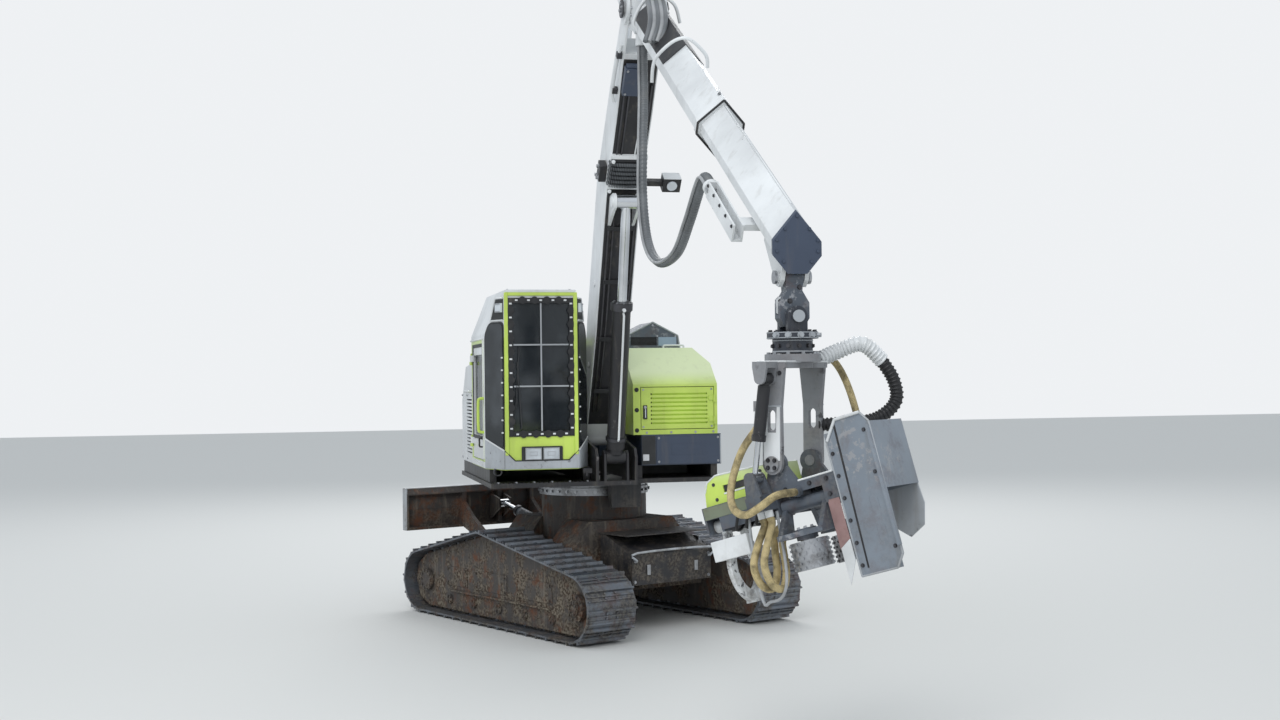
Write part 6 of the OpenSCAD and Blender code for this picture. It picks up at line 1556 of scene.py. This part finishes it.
class HARVESTER_OT_blade(bpy.types.Operator):
    """Adds the blade's top edge, cutting edge, bolts and end plates, and the cylinder's bands"""

    bl_idname = "harvester.blade"
    bl_label = "Blade"

    def execute(self, context):
        face = UNDER @ Matrix.Translation((0, 1.730, 0))
        boxes("blade_top_edge", "white", "blade", [(face, (-1.078, 0.036, 1.176), (1.078, 0.098, 1.186))],
              0.003)
        boxes("blade_end_edges", "pale", "blade", [
            (face, (side * 1.080 - 0.006, 0.004, 0.764),
             (side * 1.080 + 0.006, 0.086, 1.176)) for side in (-1, 1)], 0.002)
        boxes("blade_cutting_edge", "steel", "blade",
              [(face, (-1.076, 0.070, 0.758), (1.076, 0.096, 0.850))], 0.004)
        turn = UNDER.to_3x3()
        bolts("blade_edge_bolts", [(face @ Vector((x, 0.096, 0.805)),
                                    turn @ Vector((0, 1, 0))) for x in spread(-0.980, 0.980, 12)],
              0.036, 0.012, "steel", "blade")
        base, eye = Vector((0, 0.820, 0.800)), Vector((0, 1.630, 0.985))
        way = (eye - base).normalized()
        bars("blade_cylinder_bands", "dark steel", "blade_barrel", [
            (UNDER, base + way * 0.120, base + way * 0.150, 0.053),
            (UNDER, base + way * 0.512, base + way * 0.556, 0.058)], 24)
        pins = []
        for side in (-1, 1):
            pins.append((UNDER, (side * 0.435, 0.940, 0.420), (side * 0.452, 0.940, 0.420), 0.052))
        bars("blade_pin_caps", "dark steel", "blade", pins, 24)
        return {"FINISHED"}


class HARVESTER_OT_deck(bpy.types.Operator):
    """Adds the deck's bolts and treads, a rear rail and the rear box's screws"""

    bl_idname = "harvester.deck"
    bl_label = "Deck"

    def execute(self, context):
        spots = [(Vector((x, -1.020, 1.350)), (0, 0, 1)) for x in spread(-1.060, -0.260, 6)]
        spots += [(Vector((x, 1.150, 1.350)), (0, 0, 1)) for x in spread(-0.900, 0.900, 9)]
        bolts("deck_bolts", spots, 0.026, 0.012, "zinc", "deck")
        treads = [(Matrix.Identity(4), (x, -1.050, 1.350),
                   (x + 0.012, -0.860, 1.355)) for x in spread(-1.080, -0.240, 22)]
        boxes("deck_treads", "dark", "deck", treads)
        bent("rear_hand_rail", "white", "deck", [
            [Vector(p) for p in ((-1.132, 0.260, 2.150), (-1.165, 0.262, 2.160), (-1.165, 0.300, 2.160),
                                 (-1.165, 0.560, 2.160),
                                 (-1.165, 0.600, 2.160), (-1.132, 0.602, 2.150))]], 0.012, 4, 8)
        screws = [(Vector((-1.1305, y, z)), (-1, 0, 0)) for y in (0.260, 0.660, 1.060) for z in (1.500,
            2.120)]
        bolts("rear_box_screws", screws, 0.018, 0.008, "zinc", "deck")
        return {"FINISHED"}


class HARVESTER_OT_stage(bpy.types.Operator):
    """Lays the floor and sets the lights and the world"""

    bl_idname = "harvester.stage"
    bl_label = "Stage"

    def execute(self, context):
        scene = context.scene
        bm = bmesh.new()
        bmesh.ops.create_grid(bm, x_segments=1, y_segments=1, size=60)
        mesh = bpy.data.meshes.new("floor")
        bm.to_mesh(mesh)
        bm.free()
        floor = bpy.data.objects.new("floor", mesh)
        scene.collection.objects.link(floor)
        material, _tree, shader, _place = new_material("pale floor")
        shader.inputs["Base Color"].default_value = (0.72, 0.72, 0.70, 1)
        shader.inputs["Roughness"].default_value = 0.9
        mesh.materials.append(material)
        world = bpy.data.worlds.new("sky")
        scene.world = world
        world.use_nodes = True
        nodes = world.node_tree
        nodes.nodes.clear()
        out = nodes.nodes.new("ShaderNodeOutputWorld")
        light = add(nodes, "ShaderNodeBackground", i_Color=(0.88, 0.94, 1.0, 1), i_Strength=0.73)
        seen = add(nodes, "ShaderNodeBackground", i_Color=(0.86, 0.88, 0.90, 1), i_Strength=1.0)
        rays = nodes.nodes.new("ShaderNodeLightPath")
        either = math_node(nodes, "MAXIMUM", rays.outputs["Is Camera Ray"],
                           rays.outputs["Is Transmission Ray"])
        choose = nodes.nodes.new("ShaderNodeMixShader")
        nodes.links.new(either, choose.inputs[0])
        nodes.links.new(light.outputs[0], choose.inputs[1])
        nodes.links.new(seen.outputs[0], choose.inputs[2])
        nodes.links.new(choose.outputs[0], out.inputs[0])
        for name, kind, energy, size, at, aim in (
            ("key", "AREA", 920.0, 9.0, (-6, -14, 12), (0, -3, 2)),
            ("rim", "AREA", 900.0, 10.0, (3, 12, 13), (0, -3, 2)),
        ):
            lamp = bpy.data.lights.new(name, kind)
            lamp.energy = energy
            lamp.size = size
            obj = bpy.data.objects.new(name, lamp)
            obj.location = at
            obj.rotation_euler = (Vector(aim) - Vector(at)).to_track_quat("-Z", "Y").to_euler()
            scene.collection.objects.link(obj)
        scene.view_settings.view_transform = "Standard"
        return {"FINISHED"}


class HARVESTER_OT_camera(bpy.types.Operator):
    """Sets the camera, 15 m in front of the machine at eye height"""

    bl_idname = "harvester.camera"
    bl_label = "Camera"

    def execute(self, context):
        view = bpy.data.cameras.new("camera")
        view.sensor_width = 36.0
        view.lens = 43.87
        camera = bpy.data.objects.new("camera", view)
        look = Vector((0.225, 0.974, 0.0128)).normalized()
        right = look.cross(Vector((0, 0, 1))).normalized()
        up = right.cross(look)
        roll = math.radians(0.7)
        side = right * math.cos(roll) - up * math.sin(roll)
        top = up * math.cos(roll) + right * math.sin(roll)
        camera.matrix_world = Matrix.Translation((-2.93, -14.72, 2.25)) @ Matrix((side, top,
            -look)).transposed().to_4x4()
        context.scene.collection.objects.link(camera)
        context.scene.camera = camera
        return {"FINISHED"}


STEPS = ["camera", "finishes", "hoses", "cab", "engine_house", "crane", "head", "undercarriage", "blade",
         "deck", "stage"]


class HARVESTER_PT_panel(bpy.types.Panel):
    """Lists the harvester's settings and steps"""

    bl_idname = "HARVESTER_PT_panel"
    bl_label = "Harvester"
    bl_space_type = "VIEW_3D"
    bl_region_type = "UI"
    bl_category = "Harvester"

    def draw(self, context):
        for group in (context.scene.harvester_finish, context.scene.harvester_hoses,
                      context.scene.harvester_fasteners):
            for name in group.bl_rna.properties.keys():
                if name not in ("rna_type", "name"):
                    self.layout.prop(group, name)
        for step in STEPS:
            self.layout.operator("harvester." + step)


CLASSES = [
    FinishSettings, HoseSettings, FastenerSettings, HARVESTER_OT_camera, HARVESTER_OT_finishes,
    HARVESTER_OT_hoses,
    HARVESTER_OT_cab, HARVESTER_OT_engine_house, HARVESTER_OT_crane, HARVESTER_OT_head,
    HARVESTER_OT_undercarriage,
    HARVESTER_OT_blade, HARVESTER_OT_deck, HARVESTER_OT_stage, HARVESTER_PT_panel,
]


def register():
    for item in CLASSES:
        bpy.utils.register_class(item)
    bpy.types.Scene.harvester_finish = PointerProperty(type=FinishSettings)
    bpy.types.Scene.harvester_hoses = PointerProperty(type=HoseSettings)
    bpy.types.Scene.harvester_fasteners = PointerProperty(type=FastenerSettings)


def unregister():
    del bpy.types.Scene.harvester_finish
    del bpy.types.Scene.harvester_hoses
    del bpy.types.Scene.harvester_fasteners
    for item in reversed(CLASSES):
        bpy.utils.unregister_class(item)


def main():
    register()
    for step in STEPS:
        getattr(bpy.ops.harvester, step)()


if __name__ == "__main__":
    main()
